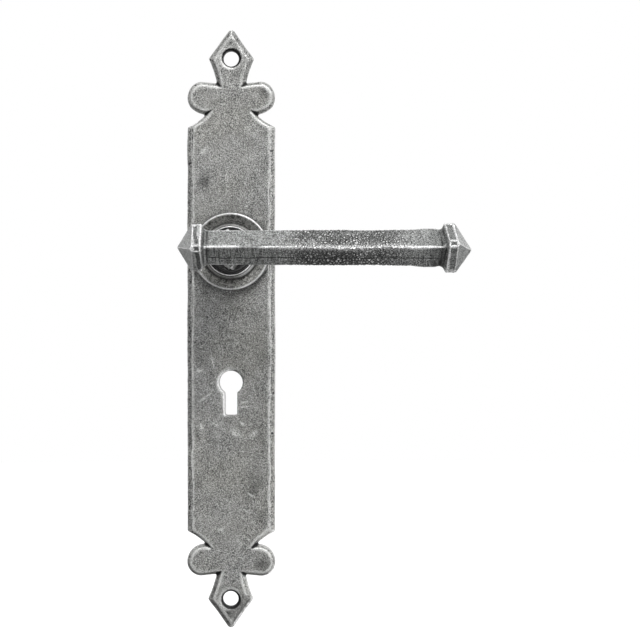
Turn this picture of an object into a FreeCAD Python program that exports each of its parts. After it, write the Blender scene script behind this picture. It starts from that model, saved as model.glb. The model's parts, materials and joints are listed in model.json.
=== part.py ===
import FreeCAD, Part
import math
import os

from FreeCAD import Vector

# Sprung lever handle on a long backplate with a spear and two lobes at each end.
#
# Millimetres, +Z up, +X along the lever, +Y into the door.  The origin is the
# spindle axis on the face of the door, so the handle stands at y <= 0 and only
# the spindle runs on behind it.  A "height" below is a distance in front of the
# door face, so a height h is the plane y = -h.  Angles are seen from the front,
# anticlockwise from +X.

# ---------------------------------------------------------------- dimensions

# Fits and gaps
SOCKET_CLEARANCE = 0.05      # per side, square bar in its socket
RUNNING_CLEARANCE = 0.04     # radial, journal in its sleeve
THREAD_CLEARANCE = 0.05      # radial, screw in its hole
SEAT_CLEARANCE = 0.05        # axial, between parts stacked on the lever's tail
RIM_CLEARANCE = 0.1          # radial, a disc in its recess
MOVING_GAP = 0.3             # between parts that move past each other

# Square spindle and its socket
SPINDLE_SIDE = 8.0
SPINDLE_LENGTH = 105.0
SPINDLE_END_CHAMFER = 0.8
SOCKET_DEPTH = 26.0

# Lever stem, from the journal to the hand bar
STEM_WALL = 1.85             # metal over the flats of the socket
STEM_CORNER_CUT = 0.54       # taken off each corner of the stem, along its diagonal
STEM_FLARE_START = 14.0      # below the bar's axis, where the stem starts to widen
STEM_FLARE_SPREAD = 8.0      # how far each side of the stem spreads into the bar
STEM_FLARE_STEPS = 5

# Journal, tail and what is stacked on them
JOURNAL_STEP = 1.0           # journal radius beyond the stem's corners
TAIL_STEP = 0.8              # journal radius down to tail radius
TAIL_FLAT_CUT = 0.8          # depth of the two flats that drive the plate
TAIL_LAND = 0.5              # metal behind the circlip groove
GROOVE_DEPTH = 0.4
CIRCLIP_THICKNESS = 1.0
CIRCLIP_WIDTH = 1.7
CIRCLIP_GAP_ANGLE = 50.0
CIRCLIP_EAR_RADIUS = 1.3
CIRCLIP_EAR_HOLE_RADIUS = 0.6
DRIVE_PLATE_THICKNESS = 1.0
THRUST_WASHER_THICKNESS = 0.5
SLEEVE_WALL = 0.86

# Return spring
SPRING_WIRE = 1.2
SPRING_TURNS = 1.75
SPRING_COIL_GAP = 0.1
SPRING_BEND_NECK = 0.04      # radial, lost by the wire where it is bent
SPRING_CLEARANCE = 0.25      # radial, coils over the sleeve
SPRING_ARM_REACH = 1.4       # fixed arm, beyond the chamber wall
SPRING_FIXED_ANGLE = 20.0

# Travel of the lever
LEVER_TRAVEL = 45.0
LUG_REST_ANGLE = 172.5
LUG_HALF_ANGLE = 8.0
LUG_REACH = 2.25             # beyond the drive plate's rim
STOP_PIN_RADIUS = 1.0
STOP_PIN_BITE = 1.6          # length held by the rose
STOP_GAP = 0.15

# Rose, its cover and its screws
CHAMBER_CLEARANCE = 0.35     # radial, around the spring
ROSE_WEB = 1.2               # metal between the chamber and the rose's face
ROSE_RIM = 2.35              # from the screw circle out to the rose's edge
ROSE_EDGE_ROUND = 0.6
COLLAR_HEIGHT = 3.0
COLLAR_GROOVE = 0.5          # width of the groove between sleeve and collar lip
COLLAR_GROOVE_DEPTH = 1.4
COLLAR_LIP = 0.45
COLLAR_FLARE = 1.45          # collar foot beyond its lip
SLEEVE_SINK = 0.35           # sleeve rim below the collar's lip
COVER_THICKNESS = 0.8
COVER_RIM = 0.25             # from the screw heads out to the cover's edge
SCREW_ANGLES = (90.0, 210.0, 330.0)
SCREW_RADIUS = 1.25
SCREW_HEAD_RADIUS = 2.35
SCREW_WALL = 0.6             # metal between the chamber and the screw heads
SCREW_TIP_COVER = 1.3        # metal in front of the screw tips
SCREW_DRIVE_RADIUS = 0.75
SCREW_DRIVE_DEPTH = 0.7

# Backplate
PLATE_THICKNESS = 4.0
PLATE_MARGIN = 2.35          # plate edge beyond the rose
PLATE_BEVEL_DEPTH = 1.9
BODY_BEVEL_WIDTH = 2.4
SHOULDER_BEVEL_WIDTH = 1.2
LOBE_BEVEL_WIDTH = 1.5
SPEAR_BEVEL_WIDTH = 2.0
BODY_LENGTH = 175.8          # between the upper and lower shoulders
BODY_CENTRE_DROP = 33.6      # spindle axis down to the plate's middle
SHOULDER_RISE = 5.5          # shoulder up to the notch
SHOULDER_SAG = 0.7
NOTCH_INSET = 8.15           # notch in from the body's side
LOBE_LOWER_RISE = 7.8        # notch up to the widest point of the lobe
LOBE_UPPER_RISE = 6.4        # widest point up to the top of the lobe
LOBE_UPPER_INSET = 5.95
LOBE_TOP_FALL = 0.8          # top of the lobe down to the spear's neck
NECK_HALF_WIDTH = 6.3
SPEAR_HALF_WIDTH = 9.85
SPEAR_LOWER_LENGTH = 10.7    # neck up to the spear's shoulders
SPEAR_LOWER_SAG = 0.3
SPEAR_UPPER_LENGTH = 14.45   # shoulders up to where the two upper edges would meet
SPEAR_TIP_RADIUS = 1.8
FIXING_HOLE_RISE = 0.4       # fixing hole above the spear's shoulders
FIXING_HOLE_RADIUS = 3.35
FIXING_SINK = 1.0            # depth and extra radius of the countersink

# Keyhole
KEY_CENTRES = 57.0           # spindle axis down to the centre of the key
KEY_BOW_RADIUS = 5.1
KEY_SLOT_HALF_WIDTH = 2.6
KEY_SLOT_DROP = 14.3         # key centre down to the foot of the slot
KEY_CHAMFER = 0.7

# Hand bar: a square bar set corner outwards
BAR_HEIGHT = 49.0            # its axis in front of the door face
BAR_LEFT = -7.6              # ends of the plain bar
BAR_LENGTH = 95.8
BAR_HALF_DIAGONAL = 7.2
BAR_HALF_DIAGONAL_GAIN = 0.57
BAR_CORNER_CUT = 0.2
BAR_STRAIGHT_LENGTH = 52.0   # from its left end, before it bends to the door
BAR_BEND_RADIUS = 340.0
BAR_BEND_STEPS = 4

# End blocks of the bar
BLOCK_GROWTH = 3.6           # half diagonal beyond the bar's, sharp corners
BLOCK_CORNER_CUT = 1.1
BLOCK_FLARE_LENGTH = 2.4
BLOCK_WAIST_LENGTH = 1.4     # first and shallower part of the flare
BLOCK_WAIST_GROWTH = 1.1
BLOCK_BAND_LENGTH = 3.6
BLOCK_POINT_HALF_DIAGONAL = 0.5
LEFT_POINT_LENGTH = 6.3
RIGHT_POINT_LENGTH = 7.5
LEFT_BLOCK_TWIST = 5.0        # degrees about the bar, as it was forged
RIGHT_BLOCK_TWIST = 8.0

# Grub screw that holds the spindle in the stem
GRUB_RADIUS = 2.0
GRUB_LENGTH = 3.0
GRUB_HEIGHT = 21.0
GRUB_HEX_ACROSS_FLATS = 2.0
GRUB_HEX_DEPTH = 1.4

# ------------------------------------------------------------- derived sizes

ROOT_2 = math.sqrt(2.0)
NEARLY_TANGENT = 1e-3        # sine of the angle between two edges that run on smoothly
INSET_ROUNDS = 12            # Newton steps to find a corner of an inset outline

socket_half = SPINDLE_SIDE / 2 + SOCKET_CLEARANCE
stem_half_flat = socket_half + STEM_WALL
stem_reach = stem_half_flat * ROOT_2 - STEM_CORNER_CUT
journal_radius = stem_reach + JOURNAL_STEP
tail_radius = journal_radius - TAIL_STEP
groove_radius = tail_radius - GROOVE_DEPTH
tail_half_flat = tail_radius - TAIL_FLAT_CUT

sleeve_inner = journal_radius + RUNNING_CLEARANCE
sleeve_outer = sleeve_inner + SLEEVE_WALL
spring_radius = sleeve_outer + SPRING_CLEARANCE + SPRING_WIRE / 2
drive_plate_radius = spring_radius + SPRING_WIRE / 2
chamber_radius = drive_plate_radius + CHAMBER_CLEARANCE
lug_radius = drive_plate_radius + LUG_REACH

screw_circle = chamber_radius + SCREW_WALL + SCREW_HEAD_RADIUS
screw_head_depth = SCREW_HEAD_RADIUS - SCREW_RADIUS
rose_radius = screw_circle + ROSE_RIM
cover_radius = screw_circle + SCREW_HEAD_RADIUS + COVER_RIM
lip_inner = sleeve_outer + COLLAR_GROOVE
lip_outer = lip_inner + COLLAR_LIP
collar_foot = lip_outer + COLLAR_FLARE

# Heights in front of the door face, from the back of the handle outwards
tail_end = COVER_THICKNESS + 2 * SEAT_CLEARANCE
groove_back = tail_end + TAIL_LAND
circlip_back = groove_back + SEAT_CLEARANCE
circlip_front = circlip_back + CIRCLIP_THICKNESS
groove_front = circlip_front + SEAT_CLEARANCE
drive_plate_back = groove_front
drive_plate_front = drive_plate_back + DRIVE_PLATE_THICKNESS
tail_front = drive_plate_front + SEAT_CLEARANCE
washer_back = tail_front
washer_front = washer_back + THRUST_WASHER_THICKNESS
sleeve_back = washer_front + SEAT_CLEARANCE
spring_back = drive_plate_front + 2 * SEAT_CLEARANCE
spring_pitch = SPRING_WIRE + SPRING_COIL_GAP
spring_front = spring_back + SPRING_TURNS * spring_pitch + SPRING_WIRE
chamber_front = spring_front + 2 * SEAT_CLEARANCE
rose_face = chamber_front + ROSE_WEB
collar_top = rose_face + COLLAR_HEIGHT
sleeve_front = collar_top - SLEEVE_SINK
screw_tip = rose_face - SCREW_TIP_COVER
stop_pin_front = PLATE_THICKNESS + STOP_PIN_BITE

# The drive plate's lug swings between two pins at the ends of an arc pocket
stop_circle = lug_radius - STOP_PIN_RADIUS
stop_angle = LUG_HALF_ANGLE + math.degrees(math.asin((STOP_PIN_RADIUS + STOP_GAP) / stop_circle))
rest_stop_angle = LUG_REST_ANGLE + stop_angle
travel_stop_angle = LUG_REST_ANGLE - LEVER_TRAVEL - stop_angle
pocket_radius = lug_radius + MOVING_GAP

# Ends of the spring: the free end lies one helix further round, towards the back
spring_free_angle = SPRING_FIXED_ANGLE - 360.0 * SPRING_TURNS
spring_fixed_height = spring_front - SPRING_WIRE / 2
spring_free_height = spring_back + SPRING_WIRE / 2

plate_half_width = rose_radius + PLATE_MARGIN
body_half_length = BODY_LENGTH / 2
spear_neck_rise = SHOULDER_RISE + LOBE_LOWER_RISE + LOBE_UPPER_RISE - LOBE_TOP_FALL
fixing_hole_offset = body_half_length + spear_neck_rise + SPEAR_LOWER_LENGTH + FIXING_HOLE_RISE
fixing_hole_heights = (
    -BODY_CENTRE_DROP + fixing_hole_offset,
    -BODY_CENTRE_DROP - fixing_hole_offset,
)

FORWARD = Vector(0, -1, 0)
CENTRE = Vector(0, 0, 0)


# ------------------------------------------------------------- shape helpers

def on_circle(radius, angle, height=0.0):
    """Point at an angle seen from the front, at a height in front of the door."""
    a = math.radians(angle)
    return Vector(radius * math.cos(a), -height, radius * math.sin(a))


def cylinder(radius, low, high, centre=CENTRE):
    """Cylinder square to the door between two heights."""
    return Part.makeCylinder(radius, high - low, centre + FORWARD * low, FORWARD)


def cone(radius_low, radius_high, low, high, centre=CENTRE):
    """Cone square to the door between two heights."""
    return Part.makeCone(radius_low, radius_high, high - low, centre + FORWARD * low, FORWARD)


def ring(outer, inner, low, high):
    return cylinder(outer, low, high).cut(cylinder(inner, low, high))


def polygon_prism(points, low, high):
    """Prism square to the door from (x, z) points."""
    loop = [Vector(x, -low, z) for x, z in points]
    return Part.Face(Part.makePolygon(loop + loop[:1])).extrude(FORWARD * (high - low))


def diamond_points(half_diagonal, corner_cut=0.0):
    """Square standing on a corner; each corner may be cut square to its diagonal."""
    if corner_cut <= 0:
        return [(half_diagonal, 0), (0, half_diagonal), (-half_diagonal, 0), (0, -half_diagonal)]
    reach = half_diagonal - corner_cut
    cut = corner_cut
    return [
        (reach, -cut), (reach, cut), (cut, reach), (-cut, reach),
        (-reach, cut), (-reach, -cut), (-cut, -reach), (cut, -reach),
    ]


def sector(radius, start_angle, end_angle, low, high):
    """Wedge of a disc between two angles, less than half a turn apart."""
    start = on_circle(radius, start_angle, low)
    middle = on_circle(radius, (start_angle + end_angle) / 2, low)
    end = on_circle(radius, end_angle, low)
    axis = CENTRE + FORWARD * low
    edges = [Part.makeLine(axis, start), Part.Arc(start, middle, end).toShape(), Part.makeLine(end, axis)]
    return Part.Face(Part.Wire(edges)).extrude(FORWARD * (high - low))


def bow_circle(start, end, bulge):
    """Centre and signed radius of an arc; both are positive where it bows to the right."""
    chord = end - start
    side = Vector(chord.z, 0, -chord.x).normalize()
    radius = (chord.Length ** 2 / 4 + bulge ** 2) / (2 * bulge)
    return (start + end) * 0.5 + side * (bulge - radius), radius


def depth_inside(edge, point):
    """How far a point lies to the left of a line or arc, and the way that grows."""
    start, end, bulge, _ = edge
    if bulge == 0:
        chord = end - start
        normal = Vector(-chord.z, 0, chord.x).normalize()
        return (point - start).dot(normal), normal
    centre, radius = bow_circle(start, end, bulge)
    spoke = point - centre
    sign = math.copysign(1.0, radius)
    return sign * (abs(radius) - spoke.Length), spoke * (-sign / spoke.Length)


def inset_corner(before, after, share):
    """Point that lies a share of each one's bevel inside two edges that follow each other."""
    point = after[0]
    for _ in range(INSET_ROUNDS):
        depth_1, normal_1 = depth_inside(before, point)
        depth_2, normal_2 = depth_inside(after, point)
        short_1 = share * before[3] - depth_1
        short_2 = share * after[3] - depth_2
        cross = normal_1.x * normal_2.z - normal_1.z * normal_2.x
        if abs(cross) < NEARLY_TANGENT:
            point = point + normal_1 * short_1
            continue
        step_x = (short_1 * normal_2.z - short_2 * normal_1.z) / cross
        step_z = (short_2 * normal_1.x - short_1 * normal_2.x) / cross
        point = point + Vector(step_x, 0, step_z)
    return point


def edge_shape(start, middle, end, bulge, height):
    lift = FORWARD * height
    if bulge == 0:
        return Part.makeLine(start + lift, end + lift)
    return Part.Arc(start + lift, middle + lift, end + lift).toShape()


def inset_wire(edges, share, height):
    """Closed wire that runs a share of each edge's own bevel inside a loop of lines and arcs."""
    count = len(edges)
    corners = [inset_corner(edges[index - 1], edges[index], share) for index in range(count)]
    shapes = []
    for index, (start, end, bulge, bevel) in enumerate(edges):
        middle = (start + end) * 0.5
        if bulge != 0:
            centre, radius = bow_circle(start, end, bulge)
            spoke = Vector(end.z - start.z, 0, start.x - end.x).normalize()
            middle = centre + spoke * (radius - share * bevel)
        shapes.append(edge_shape(corners[index], middle, corners[(index + 1) % count], bulge, height))
    return Part.Wire(shapes)


def upright_bulge(dx, dz):
    """Bulge of an arc across dx and dz that is upright at one of its ends."""
    return math.hypot(dx, dz) / 2 * math.tan(math.atan2(dx, dz) / 2)


# ------------------------------------------------------------------ backplate

def finial_side():
    """Right side of the upper finial, from the body's shoulder to the sharp tip.

    Each entry is a corner, then the bulge and the bevel's width of the edge that arrives
    there; heights are counted from the middle of the plate.
    """
    notch_x = plate_half_width - NOTCH_INSET
    lobe_x = plate_half_width - LOBE_UPPER_INSET
    notch_z = body_half_length + SHOULDER_RISE
    widest_z = notch_z + LOBE_LOWER_RISE
    lobe_top_z = widest_z + LOBE_UPPER_RISE
    neck_z = body_half_length + spear_neck_rise
    spear_z = neck_z + SPEAR_LOWER_LENGTH
    lobe_lower_bulge = upright_bulge(NOTCH_INSET, LOBE_LOWER_RISE)
    lobe_upper_bulge = upright_bulge(LOBE_UPPER_INSET, LOBE_UPPER_RISE)
    return [
        (plate_half_width, body_half_length, 0, BODY_BEVEL_WIDTH),
        (notch_x, notch_z, -SHOULDER_SAG, SHOULDER_BEVEL_WIDTH),
        (plate_half_width, widest_z, lobe_lower_bulge, LOBE_BEVEL_WIDTH),
        (lobe_x, lobe_top_z, lobe_upper_bulge, LOBE_BEVEL_WIDTH),
        (NECK_HALF_WIDTH, neck_z, 0, LOBE_BEVEL_WIDTH),
        (SPEAR_HALF_WIDTH, spear_z, -SPEAR_LOWER_SAG, SPEAR_BEVEL_WIDTH),
        (0, spear_z + SPEAR_UPPER_LENGTH, 0, SPEAR_BEVEL_WIDTH),
    ]


def plate_edges():
    """Loop of (start, end, bulge, bevel) round the plate, anticlockwise from the front."""
    side = finial_side()
    upper = list(side)
    for index in reversed(range(len(side) - 1)):
        upper.append((-side[index][0], side[index][1]) + side[index + 1][2:])
    loop = upper + [(-x, -z, bulge, bevel) for x, z, bulge, bevel in upper]
    points = [Vector(x, 0, z - BODY_CENTRE_DROP) for x, z, _, _ in loop]
    return [(points[i - 1], points[i]) + loop[i][2:] for i in range(len(loop))]


def spear_tip_cutter():
    """What lies outside the round at the upper tip of the plate."""
    half_angle = math.atan2(SPEAR_HALF_WIDTH, SPEAR_UPPER_LENGTH)
    tip = body_half_length + spear_neck_rise + SPEAR_LOWER_LENGTH + SPEAR_UPPER_LENGTH
    centre = tip - SPEAR_TIP_RADIUS / math.sin(half_angle)
    touch_x = SPEAR_TIP_RADIUS * math.cos(half_angle)
    touch_z = centre + SPEAR_TIP_RADIUS * math.sin(half_angle)
    corner = polygon_prism(
        [(-touch_x, touch_z), (touch_x, touch_z), (touch_x, tip), (-touch_x, tip)],
        0, PLATE_THICKNESS,
    )
    round_end = cylinder(SPEAR_TIP_RADIUS, 0, PLATE_THICKNESS, Vector(0, 0, centre))
    return corner.cut(round_end).translated(Vector(0, 0, -BODY_CENTRE_DROP))


def bevelled_plate():
    """Slab whose front edge is bevelled all the way round the outline."""
    edges = plate_edges()
    bevel_start = PLATE_THICKNESS - PLATE_BEVEL_DEPTH
    slab = Part.Face(inset_wire(edges, 0, 0)).extrude(FORWARD * bevel_start)
    lower = inset_wire(edges, 0, bevel_start)
    upper = inset_wire(edges, 1, PLATE_THICKNESS)
    plate = slab.fuse(Part.makeLoft([lower, upper], True, True))
    upper_tip = spear_tip_cutter()
    middle = Vector(0, 0, -BODY_CENTRE_DROP)
    lower_tip = upper_tip.copy()
    lower_tip.rotate(middle, Vector(0, 1, 0), 180)
    return plate.cut([upper_tip, lower_tip]).removeSplitter()


def keyhole_outline(grow, height):
    """Round bow over a straight slot, grown all round by a margin."""
    bow = KEY_BOW_RADIUS + grow
    half = KEY_SLOT_HALF_WIDTH + grow
    join = -math.sqrt(bow * bow - half * half) - KEY_CENTRES
    foot = -KEY_SLOT_DROP - grow - KEY_CENTRES
    left_join = Vector(-half, -height, join)
    right_join = Vector(half, -height, join)
    left_foot = Vector(-half, -height, foot)
    right_foot = Vector(half, -height, foot)
    top = Vector(0, -height, bow - KEY_CENTRES)
    return Part.Wire([
        Part.Arc(right_join, top, left_join).toShape(),
        Part.makeLine(left_join, left_foot),
        Part.makeLine(left_foot, right_foot),
        Part.makeLine(right_foot, right_join),
    ])


def keyhole_cutter():
    straight = Part.Face(keyhole_outline(0.0, 0.0)).extrude(FORWARD * PLATE_THICKNESS)
    edge = Part.makeLoft(
        [
            keyhole_outline(0.0, PLATE_THICKNESS - KEY_CHAMFER),
            keyhole_outline(KEY_CHAMFER, PLATE_THICKNESS),
        ],
        True, True,
    )
    return straight.fuse(edge)


def fixing_hole_cutter(z):
    centre = Vector(0, 0, z)
    sink_start = PLATE_THICKNESS - FIXING_SINK
    sink = cone(FIXING_HOLE_RADIUS, FIXING_HOLE_RADIUS + FIXING_SINK, sink_start, PLATE_THICKNESS, centre)
    return cylinder(FIXING_HOLE_RADIUS, 0, PLATE_THICKNESS, centre).fuse(sink)


def stop_pocket(high):
    """Arc pocket for the lug, with a round seat for a stop pin at each end."""
    start = travel_stop_angle
    end = rest_stop_angle
    inner = chamber_radius - RIM_CLEARANCE
    wedge = sector(pocket_radius, start, end, 0, high).cut(cylinder(inner, 0, high))
    for angle in (start, end):
        wedge = wedge.fuse(cylinder(STOP_PIN_RADIUS, 0, high, on_circle(stop_circle, angle)))
    return wedge


def screw_hole_cutter(angle):
    """Countersunk clearance hole for one rose screw, from the door side."""
    centre = on_circle(screw_circle, angle)
    shank = SCREW_RADIUS + THREAD_CLEARANCE
    head = SCREW_HEAD_RADIUS + THREAD_CLEARANCE
    sink = cone(head, shank, 0, screw_head_depth, centre)
    return cylinder(shank, 0, screw_tip + SEAT_CLEARANCE, centre).fuse(sink)


def make_backplate():
    cutters = [
        cylinder(chamber_radius, 0, PLATE_THICKNESS),
        cylinder(cover_radius + RIM_CLEARANCE, 0, COVER_THICKNESS + SEAT_CLEARANCE),
        stop_pocket(PLATE_THICKNESS),
        keyhole_cutter(),
    ]
    cutters += [screw_hole_cutter(angle) for angle in SCREW_ANGLES]
    cutters += [fixing_hole_cutter(z) for z in fixing_hole_heights]
    return bevelled_plate().cut(cutters)


# ----------------------------------------------------------------------- rose

def make_rose():
    """Round boss with a raised collar, hollow behind for the spring."""
    profile = [
        (sleeve_outer, PLATE_THICKNESS),
        (rose_radius, PLATE_THICKNESS),
        (rose_radius, rose_face - ROSE_EDGE_ROUND),
        (rose_radius - ROSE_EDGE_ROUND, rose_face),
        (collar_foot, rose_face),
        (lip_outer, collar_top),
        (lip_inner, collar_top),
        (lip_inner, collar_top - COLLAR_GROOVE_DEPTH),
        (sleeve_outer, collar_top - COLLAR_GROOVE_DEPTH),
    ]
    loop = [Vector(radius, -height, 0) for radius, height in profile]
    boss = Part.Face(Part.makePolygon(loop + loop[:1])).revolve(CENTRE, Vector(0, 1, 0), 360)
    arm_half = SPRING_WIRE / 2 + RIM_CLEARANCE
    arm_end = chamber_radius + SPRING_ARM_REACH + RIM_CLEARANCE
    arm_slot = polygon_prism(
        [(0, -arm_half), (arm_end, -arm_half), (arm_end, arm_half), (0, arm_half)],
        PLATE_THICKNESS, chamber_front,
    )
    arm_slot.rotate(CENTRE, Vector(0, 1, 0), -SPRING_FIXED_ANGLE)
    cutters = [
        cylinder(chamber_radius, PLATE_THICKNESS, chamber_front),
        arm_slot.cut(cylinder(sleeve_outer, PLATE_THICKNESS, chamber_front)),
    ]
    cutters += [screw_hole_cutter(angle) for angle in SCREW_ANGLES]
    for angle in (rest_stop_angle, travel_stop_angle):
        seat = on_circle(stop_circle, angle)
        cutters.append(cylinder(STOP_PIN_RADIUS, PLATE_THICKNESS, stop_pin_front, seat))
    if drive_plate_front + MOVING_GAP > PLATE_THICKNESS:
        cutters.append(stop_pocket(drive_plate_front + MOVING_GAP))
    return boss.cut(cutters)


def make_bearing_sleeve():
    return ring(sleeve_outer, sleeve_inner, sleeve_back, sleeve_front)


def make_rear_cover():
    """Disc that closes the chamber behind; only the spindle passes through it."""
    opening = socket_half * ROOT_2 + MOVING_GAP
    disc = ring(cover_radius, opening, 0, COVER_THICKNESS)
    return disc.cut([screw_hole_cutter(angle) for angle in SCREW_ANGLES])


def make_rose_screw(angle):
    """Countersunk screw, driven from the door side."""
    centre = on_circle(screw_circle, angle)
    head = cone(SCREW_HEAD_RADIUS, SCREW_RADIUS, 0, screw_head_depth, centre)
    shank = cylinder(SCREW_RADIUS, 0, screw_tip, centre)
    square = polygon_prism(diamond_points(SCREW_DRIVE_RADIUS * ROOT_2), 0, SCREW_DRIVE_DEPTH)
    return head.fuse(shank).cut(square.translated(centre)).removeSplitter()


def make_stop_pin(angle):
    back = COVER_THICKNESS + 2 * SEAT_CLEARANCE
    return cylinder(STOP_PIN_RADIUS, back, stop_pin_front, on_circle(stop_circle, angle))


# ------------------------------------------------- parts carried on the tail

def double_flat_shaft(radius, half_flat, low, high):
    """Round shaft with two flats that face up and down."""
    shaft = cylinder(radius, low, high)
    slab = polygon_prism(
        [(-radius, -half_flat), (radius, -half_flat), (radius, half_flat), (-radius, half_flat)],
        low, high,
    )
    return shaft.common(slab)


def make_drive_plate():
    """Disc keyed on the tail's flats, with a lug for the stops and a slot for the spring."""
    back = drive_plate_back
    front = drive_plate_front
    lug = sector(lug_radius, LUG_REST_ANGLE - LUG_HALF_ANGLE, LUG_REST_ANGLE + LUG_HALF_ANGLE, back, front)
    disc = cylinder(drive_plate_radius, back, front).fuse(lug)
    bore = double_flat_shaft(
        tail_radius + RUNNING_CLEARANCE, tail_half_flat + RUNNING_CLEARANCE, back, front
    )
    slot_half = SPRING_WIRE / 2 + RIM_CLEARANCE
    slot_start = spring_radius - slot_half
    slot = polygon_prism(
        [
            (slot_start, -slot_half), (lug_radius, -slot_half),
            (lug_radius, slot_half), (slot_start, slot_half),
        ],
        back, front,
    )
    slot.rotate(CENTRE, Vector(0, 1, 0), -spring_free_angle)
    return disc.cut([bore, slot]).removeSplitter()


def make_circlip():
    """Open ring in the tail's groove, with an eared end each side of its gap."""
    inner = groove_radius + RUNNING_CLEARANCE
    outer = inner + CIRCLIP_WIDTH
    half_gap = CIRCLIP_GAP_ANGLE / 2
    gap = sector(2 * outer, -90 - half_gap, -90 + half_gap, circlip_back, circlip_front)
    clip = ring(outer, inner, circlip_back, circlip_front).cut(gap)
    ear_circle = inner + CIRCLIP_EAR_RADIUS
    ear_angle = half_gap + math.degrees(CIRCLIP_EAR_RADIUS / ear_circle)
    for side in (-1, 1):
        centre = on_circle(ear_circle, -90 + side * ear_angle)
        clip = clip.fuse(cylinder(CIRCLIP_EAR_RADIUS, circlip_back, circlip_front, centre))
        clip = clip.cut(cylinder(CIRCLIP_EAR_HOLE_RADIUS, circlip_back, circlip_front, centre))
    return clip.cut(cylinder(inner, circlip_back, circlip_front)).removeSplitter()


def make_thrust_washer():
    return ring(sleeve_outer, journal_radius + RIM_CLEARANCE, washer_back, washer_front)


def wire_section(wire, centre):
    """Outline of a round wire that runs along Y, as four arcs, so that no face closes on itself."""
    rim = [centre + Vector(math.cos(turn), 0, math.sin(turn)) * wire
           for turn in [math.radians(45 * step) for step in range(8)]]
    arcs = [Part.Arc(rim[k], rim[k + 1], rim[(k + 2) % 8]).toShape() for k in (0, 2, 4, 6)]
    return Part.Wire(arcs)


def make_return_spring():
    """Coil with an arm into the rose's slot and a tang into the drive plate's slot."""
    wire = SPRING_WIRE / 2
    # The wire runs half its width past each bend, so that the bends meet its side.
    overrun = wire / (2 * math.pi * spring_radius)
    height = (SPRING_TURNS + 2 * overrun) * spring_pitch
    path = Part.makeHelix(spring_pitch, height, spring_radius)
    section = wire_section(wire, Vector(spring_radius, 0, 0))
    coil = Part.Wire(path.Edges).makePipeShell([section], True, True)
    # The helix climbs +Z; laid over, it climbs from the front towards the door.
    coil.rotate(CENTRE, Vector(1, 0, 0), -90)
    coil.rotate(CENTRE, Vector(0, 1, 0), -(SPRING_FIXED_ANGLE + 360 * overrun))
    coil.translate(FORWARD * (spring_fixed_height + overrun * spring_pitch))
    fixed_end = on_circle(spring_radius, SPRING_FIXED_ANGLE, spring_fixed_height)
    free_end = on_circle(spring_radius, spring_free_angle, spring_free_height)
    bent = wire - SPRING_BEND_NECK
    arm_length = chamber_radius + SPRING_ARM_REACH - spring_radius
    arm = Part.makeCylinder(bent, arm_length, fixed_end, on_circle(1, SPRING_FIXED_ANGLE))
    tang_length = spring_free_height - drive_plate_back
    tang = Part.makeCylinder(bent, tang_length, free_end, FORWARD * -1)
    return coil.fuse([arm, tang])


# ---------------------------------------------------------------- the lever

def bar_frame(along):
    """Centre and direction of the bar at a distance from its left end."""
    bent = along - BAR_STRAIGHT_LENGTH
    if bent <= 0:
        return Vector(BAR_LEFT + along, -BAR_HEIGHT, 0), Vector(1, 0, 0)
    turn = bent / BAR_BEND_RADIUS
    centre = Vector(
        BAR_LEFT + BAR_STRAIGHT_LENGTH + BAR_BEND_RADIUS * math.sin(turn),
        -BAR_HEIGHT + BAR_BEND_RADIUS * (1 - math.cos(turn)),
        0,
    )
    return centre, Vector(math.cos(turn), math.sin(turn), 0)


def bar_half_diagonal(along):
    return BAR_HALF_DIAGONAL + BAR_HALF_DIAGONAL_GAIN * along / BAR_LENGTH


def cross_polygon(centre, direction, outline, twist=0.0):
    """Closed polygon square to a direction that lies in the XY plane, turned about it."""
    across = Vector(-direction.y, direction.x, 0)
    cosine = math.cos(math.radians(twist))
    sine = math.sin(math.radians(twist))
    points = [
        centre + across * (u * cosine + w * sine) + Vector(0, 0, w * cosine - u * sine)
        for u, w in outline
    ]
    return Part.makePolygon(points + points[:1])


def cross_wire(centre, direction, half_diagonal, corner_cut, twist=0.0):
    return cross_polygon(centre, direction, diamond_points(half_diagonal, corner_cut), twist)


def bar_wire(along):
    centre, direction = bar_frame(along)
    return cross_wire(centre, direction, bar_half_diagonal(along), BAR_CORNER_CUT)


def make_bar():
    straight = Part.makeLoft([bar_wire(0), bar_wire(BAR_STRAIGHT_LENGTH)], True, True)
    bent_length = BAR_LENGTH - BAR_STRAIGHT_LENGTH
    stations = [
        BAR_STRAIGHT_LENGTH + bent_length * step / BAR_BEND_STEPS
        for step in range(BAR_BEND_STEPS + 1)
    ]
    bent = Part.makeLoft([bar_wire(along) for along in stations], True, False)
    return straight.fuse(bent)


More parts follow.
